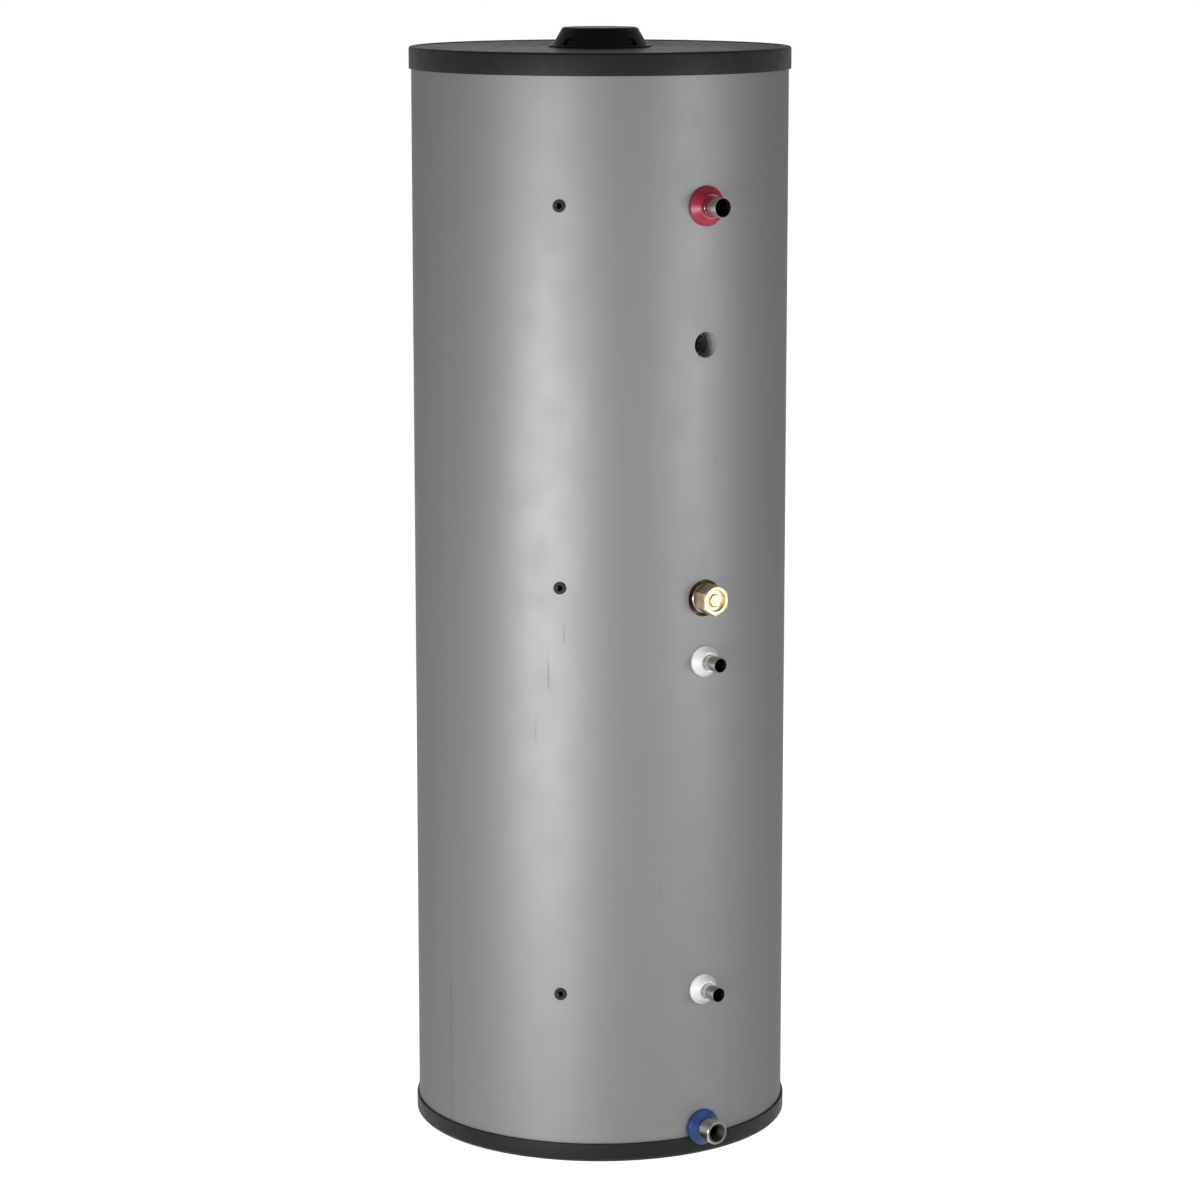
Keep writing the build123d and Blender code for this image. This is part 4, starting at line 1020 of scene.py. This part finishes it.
piece(coil_tube(), stub_steel, "tank", "vessel_steel", "heating_coil")

# ---------------------------------------- inner pieces, as packed
INNER_NODES = (
    (vessel_steel, (
        "vessel_shell", "vessel_top_dome", "vessel_bottom_dome", "support_ring", "inlet_diffuser",
        "coil_support_bars",
    )),
    (stub_steel, ("hot_draw_off_pipe", "cold_feed_pipe", "coil_flow_bend", "coil_return_bend")),
    (element_steel, ("heater_elements", "heater_thermostat_pocket")),
    (foam, ("insulation",)),
)
for finish, names in INNER_NODES:
    for name in names:
        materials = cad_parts[name].data.materials
        materials.clear()
        materials.append(finish)

# ---------------------------------------- camera
CAMERA_BEARING = -33.0      # round the cylinder's axis, from -Y
CAMERA_DISTANCE = 5.70
CAMERA_HEIGHT = 1.809
CAMERA_PITCH = 10.20        # degrees below level
CAMERA_LENS = 116.4         # focal length and sensor width, in millimetres
CAMERA_SENSOR = 36.0
camera = added("camera", bpy.data.cameras.new("camera"))
camera.data.sensor_width = CAMERA_SENSOR
camera.data.lens = CAMERA_LENS
bearing = radians(CAMERA_BEARING)
camera.location = (CAMERA_DISTANCE * sin(bearing), -CAMERA_DISTANCE * cos(bearing), CAMERA_HEIGHT)
camera.rotation_euler = (radians(90 - CAMERA_PITCH), 0, bearing)
bpy.context.scene.camera = camera


# ---------------------------------------- light
def softbox(name, angle, distance, low, high, width, level):
    """An upright strip light that faces the cylinder's axis. level is its brightness, where 1 is white."""
    lamp = bpy.data.lights.new(name, "AREA")
    lamp.shape = "RECTANGLE"
    lamp.size = width
    lamp.size_y = high - low
    lamp.energy = level * pi * width * (high - low)
    obj = added(name, lamp)
    a = radians(angle)
    obj.location = (distance * sin(a), -distance * cos(a), (low + high) / 2)
    obj.rotation_euler = (pi / 2, 0, a)
    obj.visible_camera = False


softbox("left_strip", angle=-63.5, distance=3.2, low=0.12, high=0.90, width=1.50, level=19.5)
softbox("right_strip", angle=21.0, distance=3.2, low=0.50, high=1.25, width=1.30, level=10.5)
softbox("rear_strip", angle=150.0, distance=3.4, low=0.30, high=2.10, width=1.00, level=2.2)

WORLD_LEVEL = 0.40          # light from all round
HORIZON_LEVEL = 0.68        # share of it from the studio's walls
CEILING_LEVEL = 0.30        # share from overhead
WALL_FOOT, WALL_HEAD = 0.02, 0.5    # between these, on a sphere of radius 1, walls turn to ceiling


def studio():
    """A white backdrop where it is seen directly. Its light and its reflections dim from the walls to
    the ceiling."""
    world = bpy.data.worlds.new("studio")
    bpy.context.scene.world = world
    world.use_nodes = True
    nodes = Nodes(world.node_tree)
    background = world.node_tree.nodes["Background"].inputs
    nodes.feed(background["Strength"], nodes.scaled(nodes.seen_directly(), 0, 1, WORLD_LEVEL, 1))
    sky = nodes.add("SeparateXYZ", nodes.add("TexCoord").outputs["Generated"])
    dome = nodes.scaled(sky.outputs["Z"], WALL_FOOT, WALL_HEAD, HORIZON_LEVEL, CEILING_LEVEL)
    on_camera = nodes.add("LightPath").outputs["Is Camera Ray"]
    nodes.feed(background["Color"], nodes.math("MAXIMUM", dome, on_camera))


studio()

# ---------------------------------------- floor
FLOOR_HALF = 9.0
FLOOR_GLOW = 0.94


def floor_finish():
    """Pale and matt, and white where it is seen, so that only the cylinder's shadow shows."""
    matt = Finish(
        "floor_paint", (0.62, 0.62, 0.62), 0.85, specular_ior_level=0.0, emission_color=(1, 1, 1, 1),
    )
    glow = matt.scaled(matt.seen_directly(), 0, 1, 0, FLOOR_GLOW)
    matt.feed(matt.shader.inputs["Emission Strength"], glow)
    return matt.material


floor_points = np.array([(x, y, 0.0) for x, y in ((-1, -1), (1, -1), (1, 1), (-1, 1))]) * FLOOR_HALF
floor = added("floor", mesh_of("floor", floor_points, np.array([[0, 1, 2, 3]]), closed=False))
floor.data.materials.append(floor_finish())

bpy.context.scene.view_settings.view_transform = "Standard"
